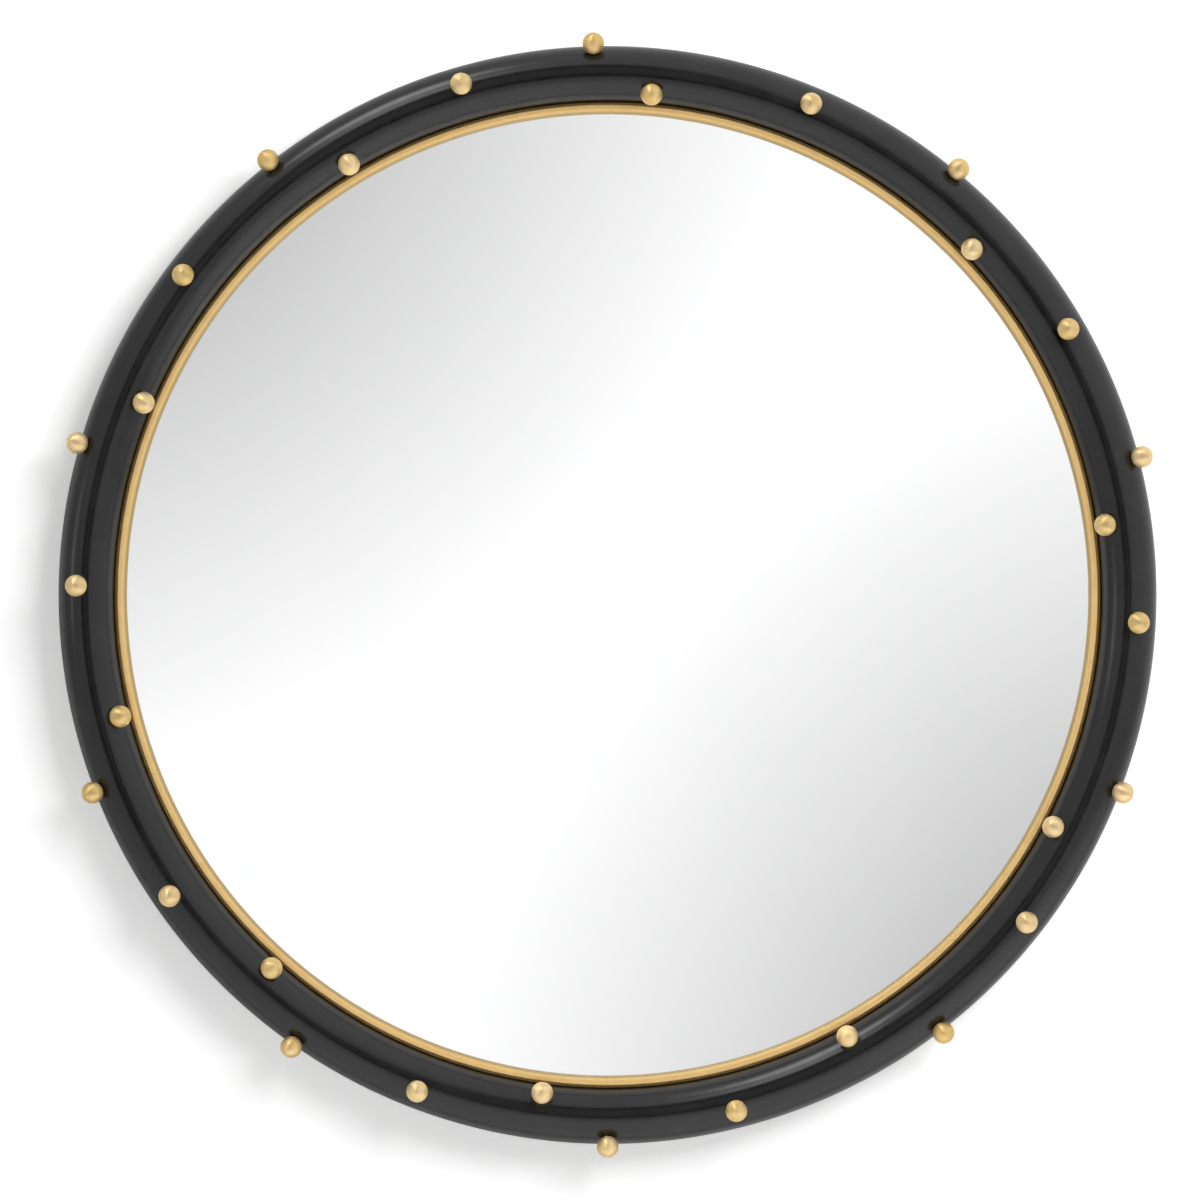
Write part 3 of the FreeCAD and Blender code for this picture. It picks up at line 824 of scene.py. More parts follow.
class PieceTree:
    """Node tree that makes one piece from a host mesh, with its sizes and its finish as named inputs."""

    HOST = "Host"
    FINISH = "Finish"
    PIECE = "Piece"
    KINDS = {
        float: "NodeSocketFloat",
        int: "NodeSocketInt",
        bpy.types.Object: "NodeSocketObject",
        bpy.types.Material: "NodeSocketMaterial",
    }

    def __init__(self, name: str, sizes: dict[str, Feed], finish: Finish) -> None:
        """Start a tree with its inputs.

        Args:
            name: Name of the tree.
            sizes: Value of each input, by the input's name.
            finish: Finish of the piece.
        """
        self.tree = bpy.data.node_groups.new(name, "GeometryNodeTree")
        self.bench = NodeBench(self.tree)
        sockets = self.tree.interface
        sockets.new_socket(self.PIECE, in_out="OUTPUT", socket_type="NodeSocketGeometry")
        sockets.new_socket(self.HOST, in_out="INPUT", socket_type="NodeSocketGeometry")
        self.values: dict[str, Feed] = {}
        for label, value in {**sizes, self.FINISH: finish.make()}.items():
            kind = next(kind for form, kind in self.KINDS.items() if isinstance(value, form))
            self.values[sockets.new_socket(label, in_out="INPUT", socket_type=kind).identifier] = value
        self.inputs = self.bench.node("NodeGroupInput").outputs

    def store(self, geometry: Socket, name: str, value: Socket, **settings: str) -> Socket:
        """Geometry that keeps a value under a name."""
        inputs = {"Geometry": geometry, "Name": name, "Value": value}
        return self.bench.node("GeometryNodeStoreNamedAttribute", inputs, **settings).outputs[0]

    def close(self, geometry: Socket) -> None:
        """End the tree in real faces with the piece's finish.

        Args:
            geometry: The piece without its finish.
        """
        real = self.bench.node("GeometryNodeRealizeInstances", {"Geometry": geometry}).outputs[0]
        inputs = {"Geometry": real, "Material": self.inputs[self.FINISH]}
        dressed = self.bench.node("GeometryNodeSetMaterial", inputs).outputs[0]
        self.bench.node("NodeGroupOutput", {self.PIECE: dressed})

    def run(self, name: str, host: bpy.types.Mesh) -> bpy.types.Object:
        """Run the tree on a host mesh, which is used up.

        Args:
            name: Name of the piece.
            host: Mesh that the tree works on.

        Returns:
            The piece, with a plain mesh and no modifier.
        """
        piece = link_object(name, host)
        modifier = piece.modifiers.new(self.tree.name, "NODES")
        modifier.node_group = self.tree
        for identifier, value in self.values.items():
            modifier[identifier] = value
        graph = bpy.context.evaluated_depsgraph_get()
        made = piece.evaluated_get(graph)
        result = bpy.data.meshes.new_from_object(made, preserve_all_data_layers=True, depsgraph=graph)
        piece.modifiers.clear()
        piece.data = result
        bpy.data.meshes.remove(host)
        smooth_faces(result)
        return piece


class StationTree(PieceTree):
    """Node tree that sets one blank on every station of its host mesh.

    A station is a point with an axis, along which the blank's own +Z is turned, and a spin about it.
    """

    TONE_SPREAD = 0.16
    TONE_SEED = 7

    def mark(self, name: str, kind: str) -> Socket:
        """One of the stations' marks."""
        return self.bench.node("GeometryNodeInputNamedAttribute", {"Name": name}, data_type=kind).outputs[0]

    def rotation(self) -> Socket:
        """Work out the turn of each station from its axis and its spin.

        Returns:
            The rotation.
        """
        inputs = {"Vector": self.mark(STATION_AXIS, "FLOAT_VECTOR")}
        upright = self.bench.node("FunctionNodeAlignRotationToVector", inputs, axis="Z").outputs[0]
        inputs = {"Axis": (0.0, 0.0, 1.0), "Angle": self.mark(STATION_SPIN, "FLOAT")}
        spin = self.bench.node("FunctionNodeAxisAngleToRotation", inputs).outputs[0]
        inputs = {"Rotation": upright, "Rotate By": spin}
        return self.bench.node("FunctionNodeRotateRotation", inputs, rotation_space="LOCAL").outputs[0]

    def set_out(self, blank: Socket) -> None:
        """Set the blank on the stations, each with a tone of its own, and end the tree.

        Args:
            blank: One copy, along +Z.
        """
        inputs = {"Points": self.inputs[self.HOST], "Instance": blank, "Rotation": self.rotation()}
        placed = self.bench.node("GeometryNodeInstanceOnPoints", inputs).outputs[0]
        inputs = {"Min": -self.TONE_SPREAD, "Max": self.TONE_SPREAD, "Seed": self.TONE_SEED}
        tone = self.bench.node("FunctionNodeRandomValue", inputs, data_type="FLOAT").outputs["Value"]
        self.close(self.store(placed, STATION_TONE, tone, data_type="FLOAT", domain="INSTANCE"))

    def make(
        self, name: str, stations: Sequence[Station], spin_step: float = GOLDEN_ANGLE
    ) -> bpy.types.Object:
        """Run the tree on stations.

        Args:
            name: Name of the piece.
            stations: Point and axis of each station.
            spin_step: Spin from one station to the next.

        Returns:
            The piece, with a plain mesh and no modifier.
        """
        points, axes = zip(*stations)
        host = bpy.data.meshes.new(name)
        host.from_pydata(points, [], [])
        host.attributes.new(STATION_AXIS, "FLOAT_VECTOR", "POINT")
        host.attributes.new(STATION_SPIN, "FLOAT", "POINT")
        for number, axis in enumerate(axes):
            host.attributes[STATION_AXIS].data[number].vector = axis
            host.attributes[STATION_SPIN].data[number].value = math.radians(spin_step * number)
        return self.run(name, host)


@dataclass
class RingMoulding:
    """Half-round ring moulding with its rebate.

    Attributes:
        outer_radius: Outside of the ring.
        back: Depth of the rear face.
        crest: Depth of the roll's crown.
        width: Width of the half-round roll.
        lip_overlap: How far the lip covers the liner flange.
        back_edge_round: Rounding of the outer rear edge.
    """

    outer_radius: float
    back: float
    crest: float
    width: float = 0.0473
    lip_overlap: float = 0.0063
    back_edge_round: float = 0.003

    @classmethod
    def from_frame(cls) -> "RingMoulding":
        """Read the ring's reach from its node."""
        low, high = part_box("frame_ring")
        return cls(outer_radius=max(high.x, high.z), back=high.y, crest=low.y)

    @property
    def roll_radius(self) -> float:
        """Radius of the half-round."""
        return self.width / 2.0

    @property
    def roll_circle(self) -> float:
        """Radius of the circle along which the half-round's middle runs."""
        return self.outer_radius - self.roll_radius

    @property
    def roll_plane(self) -> float:
        """Depth of the half-round's middle and of the lip's rear face."""
        return self.crest + self.roll_radius

    @property
    def inner_radius(self) -> float:
        """Inside of the ring."""
        return self.outer_radius - self.width

    @property
    def rebate_radius(self) -> float:
        """Wall of the rebate."""
        return self.inner_radius + self.lip_overlap

    def build(self) -> None:
        """Make the moulding."""
        corner = (self.outer_radius - self.back_edge_round, self.back - self.back_edge_round)
        section = [
            (self.rebate_radius, self.back),
            *arc(corner, self.back_edge_round, 90.0, 0.0, steps=8),
            *arc((self.roll_circle, self.roll_plane), self.roll_radius, 0.0, -180.0, steps=72),
            (self.rebate_radius, self.roll_plane),
        ]
        piece = Turning(section, closed=True, segments=480).piece("ring_moulding", LACQUER)
        settle(piece, ROOT_BODY, ["frame_ring"])


@dataclass
class BrassLiner:
    """Brass liner: a flat strip that steps down to a quarter-round, with a flange behind the moulding's lip.

    Attributes:
        ring: The moulding that holds the liner.
        glass_front: Depth of the glass that the liner lies on.
        width: Width of the liner, seen from the front.
        gap: Shadow line between the liner and the lip.
        rise: How far the liner stands in front of the lip.
        fillet_width: Width of the flat strip.
        fillet_step: Step from the strip down to the quarter-round.
        fillet_edge: Rounded outer edge of the strip.
        rebate_clearance: Gap between the flange and the rebate's wall.
    """

    ring: RingMoulding
    glass_front: float
    width: float = 0.0083
    gap: float = 0.0009
    rise: float = 0.006
    fillet_width: float = 0.004
    fillet_step: float = 0.0005
    fillet_edge: float = 0.0022
    rebate_clearance: float = 0.0005

    def build(self) -> None:
        """Make the liner."""
        outer = self.ring.inner_radius - self.gap
        sight = outer - self.width
        strip = outer - self.fillet_width
        flange = self.ring.rebate_radius - self.rebate_clearance
        top = self.ring.roll_plane - self.rise
        quarter = strip - sight
        edge = (outer - self.fillet_edge, top + self.fillet_edge)
        section = [
            (sight, self.glass_front),
            (flange, self.glass_front),
            (flange, self.ring.roll_plane),
            (outer, self.ring.roll_plane),
            *arc(edge, self.fillet_edge, 0.0, -90.0, steps=16),
            (strip, top),
            *arc((strip, top + self.fillet_step + quarter), quarter, -90.0, -180.0, steps=24),
        ]
        piece = Turning(section, closed=True, segments=480).piece("liner_strip", TRIM_BRASS)
        settle(piece, ROOT_BODY, ["brass_liner"])


@dataclass
class MirrorPlate:
    """Silvered plate with ground edges and a painted back.

    Attributes:
        front: Depth of the front face.
        back: Depth of the rear face.
        radius: Radius of the plate.
        arris: Ground edge.
    """

    front: float
    back: float
    radius: float
    arris: float = 0.0006

    @classmethod
    def from_frame(cls) -> "MirrorPlate":
        """Read the plate's reach from its node."""
        low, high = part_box("mirror_glass")
        return cls(front=low.y, back=high.y, radius=max(high.x, high.z))

    def build(self) -> None:
        """Make the plate."""
        ground = self.radius - self.arris
        section = [
            (0.0, self.front),
            (ground, self.front),
            (self.radius, self.front + self.arris),
            (self.radius, self.back - self.arris),
            (ground, self.back),
            (0.0, self.back),
        ]
        plate = Turning(section, closed=False, bands=(0, 1, 1, 1, 2))
        piece = plate.piece("mirror_plate", SILVERED_GLASS, GROUND_GLASS, BACKING_PAINT)
        settle(piece, ROOT_BODY, ["mirror_glass"])


@dataclass
class BallStuds:
    """Turned brass balls, each on a parting flat square to the roll.

    Attributes:
        ring: The moulding that carries the balls.
        radius: Radius of a ball.
        flat_radius: Radius of the flat.
        seat_gap: Lacquer between the roll and the flat.
        meridians: Facets round a ball.
        parallels: Facets from pole to pole.
    """

    ring: RingMoulding
    radius: float = 0.009
    flat_radius: float = 0.00325
    seat_gap: float = 0.00005
    meridians: int = 48
    parallels: int = 32

    @property
    def flat_level(self) -> float:
        """Distance from the ball's middle to its flat."""
        return math.sqrt(self.radius**2 - self.flat_radius**2)

    def station(self, node: str, lean: float) -> Station:
        """Middle and axis of one ball.

        Args:
            node: The ball's node, which gives its clock angle.
            lean: Tilt of its row from the roll's crown.

        Returns:
            The middle and the axis.
        """
        low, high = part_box(node)
        middle = (low + high) / 2.0
        outward = spoke(math.degrees(math.atan2(middle.z, middle.x)))
        tilt = math.radians(lean)
        axis = FRONT * math.cos(tilt) + outward * math.sin(tilt)
        reach = self.ring.roll_radius + self.seat_gap + self.flat_level
        return outward * self.ring.roll_circle + REAR * self.ring.roll_plane + axis * reach, axis

    def tree(self) -> StationTree:
        """Draw one ball with its flat, and set it on every station.

        Returns:
            The node tree, ready to run.
        """
        sizes = {
            "Ball Radius": self.radius,
            "Flat Level": self.flat_level,
            "Meridians": self.meridians,
            "Parallels": self.parallels,
        }
        made = StationTree("ball_set", sizes, BALL_BRASS)
        bench = made.bench
        given = made.inputs
        inputs = {
            "Segments": given["Meridians"],
            "Rings": given["Parallels"],
            "Radius": given["Ball Radius"],
        }
        ball = bench.node("GeometryNodeMeshUVSphere", inputs)
        spot = bench.node("GeometryNodeInputPosition").outputs[0]
        place = bench.node("ShaderNodeSeparateXYZ", {0: spot}).outputs
        level = bench.math("MAXIMUM", place["Z"], bench.math("MULTIPLY", given["Flat Level"], -1.0))
        cut = bench.node("ShaderNodeCombineXYZ", {"X": place["X"], "Y": place["Y"], "Z": level}).outputs[0]
        inputs = {"Geometry": ball.outputs[0], "Position": cut}
        seated = bench.node("GeometryNodeSetPosition", inputs).outputs[0]
        turned = ball.outputs["UV Map"]
        made.set_out(made.store(seated, TURNING_MAP, turned, data_type="FLOAT2", domain="CORNER"))
        return made

    def build(self) -> None:
        """Make all the balls."""
        names = sorted(frame["nodes"])
        rows = {row: [name for name in names if name.startswith(row.prefix)] for row in BallRow}
        stations = [self.station(node, row.value) for row, nodes in rows.items() for node in nodes]
        piece = self.tree().make("ball_studs", stations)
        settle(piece, ROOT_BODY, [node for nodes in rows.values() for node in nodes])


def set_blank(
    name: str,
    node: str,
    finish: Finish,
    blank: bpy.types.Object,
    stations: Sequence[Station],
    spin_step: float = GOLDEN_ANGLE,
) -> bpy.types.Object:
    """Set a blank object on stations, and remove the blank.

    Args:
        name: Name of the piece.
        node: Node that the piece stands for.
        finish: Its finish.
        blank: One copy, along +Z.
        stations: Point and axis of each copy.
        spin_step: Spin from one copy to the next.

    Returns:
        The finished piece.
    """
    tree = StationTree(name + "_tree", {"Blank": blank}, finish)
    inputs = {"Object": tree.inputs["Blank"], "As Instance": True}
    tree.set_out(tree.bench.node("GeometryNodeObjectInfo", inputs).outputs["Geometry"])
    piece = tree.make(name, stations, spin_step)
    spent = blank.data
    bpy.data.objects.remove(blank)
    bpy.data.meshes.remove(spent)
    settle(piece, ROOT_BODY, [node])
    return piece


@dataclass
class ScrewSet:
    """Equal wood screws with a cross recess.

    Attributes:
        name: Name of the piece.
        node: Node that the set stands for.
        form: Form of the head.
        stations: Seat and axis of each screw: the top of a countersunk head, the underside of a pan head.
        head_radius: Radius of the head.
        head_height: Height of a pan head.
        edge_break: Broken edge of a countersunk head.
        dome_steps: Facets from the flat top of a pan head to its rim.
        top_margin: Radius of that flat top, as a multiple of the wings' length.
        shank_radius: Radius of the shank.
        length: Length below the seat.
        tip: Length of the tapered tip.
        wing: Half length and half width of the recess's wings.
        recess_depth: Depth of the recess.
        recess_taper: Size of the recess's floor, as a share of its mouth.
        segments: Facets round a screw.
    """

    name: str
    node: str
    form: HeadForm
    stations: Sequence[Station]
    head_radius: float = 0.004
    head_height: float = 0.0024
    edge_break: float = 0.0001
    dome_steps: int = 6
    top_margin: float = 1.12
    shank_radius: float = 0.002
    length: float = 0.024
    tip: float = 0.004
    wing: Span = (0.0022, 0.00052)
    recess_depth: float = 0.0014
    recess_taper: float = 0.7
    segments: int = 40

    def head(self) -> list[Corner]:
        """Work out the side of the head.

        Returns:
            Its corners as (radius, height), from the rim of its flat top down to the shank.
        """
        if self.form is HeadForm.COUNTERSUNK:
            return [
                (self.head_radius - self.edge_break, 0.0),
                (self.head_radius, -self.edge_break),
                (self.shank_radius, self.shank_radius - self.head_radius),
            ]
        rim = self.head_height / 2.0
        top = self.wing[0] * self.top_margin
        slope = self.head_radius - top
        turns = [math.pi / 2.0 * step / self.dome_steps for step in range(self.dome_steps + 1)]
        dome = [(top + slope * math.sin(turn), rim + rim * math.cos(turn)) for turn in turns]
        return [*dome, (self.head_radius, 0.0), (self.shank_radius, 0.0)]

    def cross(self) -> list[Corner]:
        """Work out the outline of the cross recess.

        Returns:
            Its corners, in order.
        """
        length, width = self.wing
        arm = [(length, -width), (length, width), (width, width)]
        turns = [math.radians(90.0 * quarter) for quarter in range(4)]
        return [
            (x * math.cos(turn) - y * math.sin(turn), x * math.sin(turn) + y * math.cos(turn))
            for turn in turns
            for x, y in arm
        ]

    def blank(self) -> bpy.types.Object:
        """Make one screw along +Z.

        Returns:
            The screw.
        """
        shape = bmesh.new()
        head = self.head()
        turns = [2.0 * math.pi * step / self.segments for step in range(self.segments)]
        rings = [
            [shape.verts.new((radius * math.cos(turn), radius * math.sin(turn), height)) for turn in turns]
            for radius, height in (*head, (self.shank_radius, self.tip - self.length))
        ]
        for upper, lower in zip(rings, rings[1:]):
            bridge(shape, upper, lower)
        point = shape.verts.new((0.0, 0.0, -self.length))
        for one, two in neighbours(rings[-1]):
            shape.faces.new((one, two, point))
        top = head[0][1]
        bottom = top - self.recess_depth
        taper = self.recess_taper
        mouth = [shape.verts.new((x, y, top)) for x, y in self.cross()]
        floor = [shape.verts.new((taper * x, taper * y, bottom)) for x, y in self.cross()]
        edges = [shape.edges.get(pair) for pair in neighbours(rings[0])]
        edges += [shape.edges.new(pair) for pair in neighbours(mouth)]
        bmesh.ops.triangle_fill(shape, edges=edges, use_beauty=True)
        bridge(shape, mouth, floor)
        shape.faces.new(floor)
        bmesh.ops.recalc_face_normals(shape, faces=shape.faces)
        name = self.name + "_blank"
        return link_object(name, mesh_of(shape, name))

    def build(self) -> None:
        """Make the set."""
        set_blank(self.name, self.node, ZINC_PLATE, self.blank(), self.stations)


@dataclass
class CushionPads:
    """Foam pads pressed between the glass and the panel, their sides bulging.

    Attributes:
        glass: The plate that they press on.
        panel_front: Depth of the panel's front face.
        count: Pads round the plate.
        side: Side of a pad.
        inset: Edge of the glass to the middle of a pad.
        bulge: How far the sides swell between the pressed faces.
        corner: Rounding of the corners.
        layers: Layers that a pad's height is drawn with.
    """

    glass: MirrorPlate
    panel_front: float
    count: int = 8
    side: float = 0.025
    inset: float = 0.0255
    bulge: float = 0.0007
    corner: float = 0.002
    layers: int = 6

    def outline(self, half: float) -> list[Corner]:
        """Work out a square with rounded corners.

        Args:
            half: Half of its side.

        Returns:
            Its corners, in order.
        """
        reach = half - self.corner
        middles = ((reach, reach), (-reach, reach), (-reach, -reach), (reach, -reach))
        return [
            corner
            for turn, middle in enumerate(middles)
            for corner in arc(middle, self.corner, 90.0 * turn, 90.0 * turn + 90.0, steps=5)
        ]

    def blank(self) -> bpy.types.Object:
        """Make one pad along +Z.

        Returns:
            The pad.
        """
        shape = bmesh.new()
        thickness = self.panel_front - self.glass.back
        loops = []
        for step in range(self.layers + 1):
            height = step / self.layers
            half = self.side / 2.0 - self.bulge * (2.0 * height - 1.0) ** 2
            loops.append([shape.verts.new((x, y, thickness * height)) for x, y in self.outline(half)])
        for lower, upper in zip(loops, loops[1:]):
            bridge(shape, lower, upper)
        shape.faces.new(loops[0])
        shape.faces.new(loops[-1])
        bmesh.ops.recalc_face_normals(shape, faces=shape.faces)
        return link_object("pad_blank", mesh_of(shape, "pad_blank"))

    def build(self) -> None:
        """Make the pads."""
        circle = self.glass.radius - self.inset
        step = 360.0 / self.count
        seat = REAR * self.glass.back
        stations = [(spoke(step * number) * circle + seat, REAR) for number in range(self.count)]
        piece = set_blank("foam_pads", "cushion_pads", FOAM, self.blank(), stations, -step)


def refine_node(node: str, name: str, finish: Finish) -> None:
    """Put a joined and smoothly shaded copy in place of a node.

    Args:
        node: The node to copy.
        name: Name of the copy.
        finish: Its finish.
    """
    shape = bmesh.new()
    shape.from_mesh(frame["nodes"][node].data)
    bmesh.ops.remove_doubles(shape, verts=shape.verts, dist=TINY)
    mesh = mesh_of(shape, name)
    smooth_faces(mesh)
    mesh.materials.append(finish.make())
    settle(link_object(name, mesh), ROOT_BODY, [node])


@dataclass
class BackPanel:
    """Fibreboard panel with its countersunk screws.

    Attributes:
        ring: The moulding that the panel is screwed to.
        screw_count: Screws round the panel.
    """

    ring: RingMoulding
    screw_count: int = 12

    def build(self) -> None:
        """Make the panel and its screws."""
        refine_node("back_panel", "rear_panel", FIBREBOARD)
        step = 360.0 / self.screw_count
        clocks = [step * (number + 0.5) for number in range(self.screw_count)]
        stations = [(spoke(clock) * self.ring.roll_circle, REAR) for clock in clocks]
        ScrewSet("panel_screw_set", "panel_screws", HeadForm.COUNTERSUNK, stations).build()


@dataclass
class WireRing:
    """Swinging ring of bent round wire: a straight leg, two tight bends and a half-round bow.

    Attributes:
        side: Side of the mirror.
        eye: Middle of the leg, on the hinge's axis.
        rest: Lean of the resting ring towards the panel.
        wire_radius: Radius of the wire.
        leg: Half length of the straight leg.
        bend: Middle radius of the tight bends.
        sides: Facets round the wire.
    """

    side: Side
    eye: Vector
    rest: float = 4.6737
    wire_radius: float = 0.002
    leg: float = 0.0075
    bend: float = 0.003
    sides: int = 24

    def path(self) -> list[Vector]:
        """Work out the closed middle line of the wire.

        Returns:
            Its points, in order.
        """
        bow = self.leg + self.bend
        flat = [
            (0.0, 0.0),
            *arc((self.leg, self.bend), self.bend, -90.0, 0.0, steps=12),
            *arc((0.0, self.bend), bow, 0.0, 180.0, steps=48)[1:],
            *arc((-self.leg, self.bend), self.bend, 180.0, 270.0, steps=12)[1:],
        ]
        turn = Matrix.Rotation(math.radians(self.rest), 3, "X")
        return [self.eye + turn @ Vector((across, 0.0, height)) for across, height in flat]

    def tree(self) -> PieceTree:
        """Draw round wire along a loop of edges.

        Returns:
            The node tree, ready to run.
        """
        sizes = {"Wire Radius": self.wire_radius, "Sides": self.sides}
        made = PieceTree(f"bent_wire_{self.side.label}", sizes, ZINC_PLATE)
        line = made.bench.node("GeometryNodeMeshToCurve", {"Mesh": made.inputs[made.HOST]}).outputs[0]
        inputs = {"Resolution": made.inputs["Sides"], "Radius": made.inputs["Wire Radius"]}
        section = made.bench.node("GeometryNodeCurvePrimitiveCircle", inputs, mode="RADIUS").outputs[0]
        wire = made.bench.node("GeometryNodeCurveToMesh", {"Curve": line, "Profile Curve": section})
        made.close(wire.outputs[0])
        return made

    def build(self) -> None:
        """Make the ring."""
        path = self.path()
        line = bpy.data.meshes.new("ring_line")
        line.from_pydata(path, list(neighbours(range(len(path)))), [])
        piece = self.tree().run(f"wire_ring_{self.side.label}", line)
        settle(piece, f"ring_{self.side.label}", [f"hanger_ring_{self.side.label}"])


@dataclass
class Hangers:
    """Both hangers: folded straps, swinging rings and their screws.

    Attributes:
        strap_stack: Thickness of a strap's two layers.
        screw_drops: Distances of the screws below the eye.
    """

    strap_stack: float = 0.0024
    screw_drops: Span = (0.0203, 0.0313)

    def eye(self, side: Side) -> Vector:
        """Middle of a strap's eye, from its hinge."""
        found = next(joint for joint in frame["joints"] if joint["child"] == f"ring_{side.label}")
        return Vector(found["pos_m"])

    def build(self) -> None:
        """Make both hangers."""
        stations = []
        for side in Side:
            refine_node(f"hanger_strap_{side.label}", f"folded_strap_{side.label}", ZINC_PLATE)
            eye = self.eye(side)
            WireRing(side, eye).build()
            seats = [Vector((eye.x, self.strap_stack, eye.z - drop)) for drop in self.screw_drops]
            stations += [(seat, REAR) for seat in seats]
        ScrewSet("hanger_screw_set", "hanger_screws", HeadForm.PAN, stations).build()


@dataclass
class Bumper:
    """Rubber bumper that keeps the mirror off the wall.

    Attributes:
        side: Side of the mirror.
        edge: Rounding of the edge.
    """

    side: Side
    edge: float = 0.0015

    def build(self) -> None:
        """Make the bumper."""
        node = f"bumper_{self.side.label}"
        low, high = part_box(node)
        radius = (high.x - low.x) / 2.0
        section = [
            (0.0, low.y),
            (radius, low.y),
            *arc((radius - self.edge, high.y - self.edge), self.edge, 0.0, 90.0, steps=8),
            (0.0, high.y),
        ]
        centre = Vector(((low.x + high.x) / 2.0, 0.0, (low.z + high.z) / 2.0))
        piece = Turning(section, closed=False, segments=64, centre=centre).piece(f"rubber_{node}", RUBBER)
        settle(piece, ROOT_BODY, [node])


@dataclass(frozen=True)
class Gaze:
    """Direction in which a ray leaves the mirror.

    Attributes:
        way: The whole direction.
        across: Its part to the right.
        ahead: Its part straight out of the mirror.
        up: Its upward part.
    """

    way: Socket
    across: Socket
    ahead: Socket
    up: Socket


@dataclass(frozen=True)
class Glow:
    """Soft round light in the studio, seen only in gloss.

    Attributes:
        tilt: Angle from straight in front of the mirror.
        clock: Clock angle round that direction.
        core: Half width of the full light.
        fade: Half width at which the light ends.
        strength: Brightness beyond the white of the studio.
    """

    tilt: float
    clock: float
    core: float
    fade: float
    strength: float

    def seen(self, bench: NodeBench, gaze: Gaze) -> Socket:
        """Work out what it adds in a direction.

        Args:
            bench: The world's node tree.
            gaze: The direction.

        Returns:
            The brightness.
        """
        tilt = math.radians(self.tilt)
        middle = FRONT * math.cos(tilt) + spoke(self.clock) * math.sin(tilt)
        edges = (math.cos(math.radians(self.fade)), math.cos(math.radians(self.core)))
        return bench.ease(bench.measure("DOT_PRODUCT", gaze.way, middle), edges, (0.0, self.strength))


@dataclass(frozen=True)
class Opening:
    """Soft-edged rectangle of the studio, darker or lighter than the rest, seen only in gloss.

    Attributes:
        azimuth: Its middle sideways, to the right of straight in front.
        elevation: Its middle upwards.
        half_width: Half of its width.
        half_height: Half of its height.
        strength: Brightness that it adds.
        softness: Width of its soft edge.
    """

    azimuth: float
    elevation: float
    half_width: float
    half_height: float
    strength: float
    softness: float = 5.0

    def inside(self, bench: NodeBench, angle: Socket, middle: float, half: float) -> Socket:
        """How far inside its edges one angle is, from 0 to 1."""
        offset = bench.math("ABSOLUTE", bench.math("SUBTRACT", angle, middle))
        return bench.ease(offset, (half - self.softness / 2.0, half + self.softness / 2.0), (1.0, 0.0))

    def seen(self, bench: NodeBench, gaze: Gaze) -> Socket:
        """Work out what it adds in a direction.

        Args:
            bench: The world's node tree.
            gaze: The direction.

        Returns:
            The brightness.
        """
        azimuth = bench.math("DEGREES", bench.math("ARCTAN2", gaze.across, gaze.ahead))
        elevation = bench.math("DEGREES", bench.math("ARCSINE", gaze.up))
        across = self.inside(bench, azimuth, self.azimuth, self.half_width)
        upright = self.inside(bench, elevation, self.elevation, self.half_height)
        return bench.math("MULTIPLY", bench.math("MULTIPLY", across, upright), self.strength)


@dataclass(frozen=True)
class GreyField:
    """Grey end of the studio that the glass gives back, fading to white.

    Attributes:
        clock: Clock angle of the grey end.
        reach: Distance of its middle from straight ahead, as a slope.
        aside: Sideways shift of its middle, as a slope.
        edge: Distance from its middle at which it has faded to white.
        fall: Loss of brightness per unit of slope.
        depth: Largest loss of brightness.
    """

    clock: float
    reach: float = 0.175
    aside: float = -0.0133
    edge: float = 0.161
    fall: float = 6.5
    depth: float = 0.48

    def loss(self, bench: NodeBench, slopes: Socket) -> Socket:
        """Work out what it takes away in a direction.

        Args:
            bench: The world's node tree.
            slopes: The direction, as its slopes across and up.

        Returns:
            The brightness that is lost.
        """
        along = spoke(self.clock) * self.reach + spoke(self.clock + 90.0) * self.aside
        away = bench.measure("DISTANCE", slopes, (along.x, along.z, 0.0))
        nearest = self.edge - self.depth / self.fall
        return bench.ease(away, (nearest, self.edge), (self.depth, 0.0), form="LINEAR")


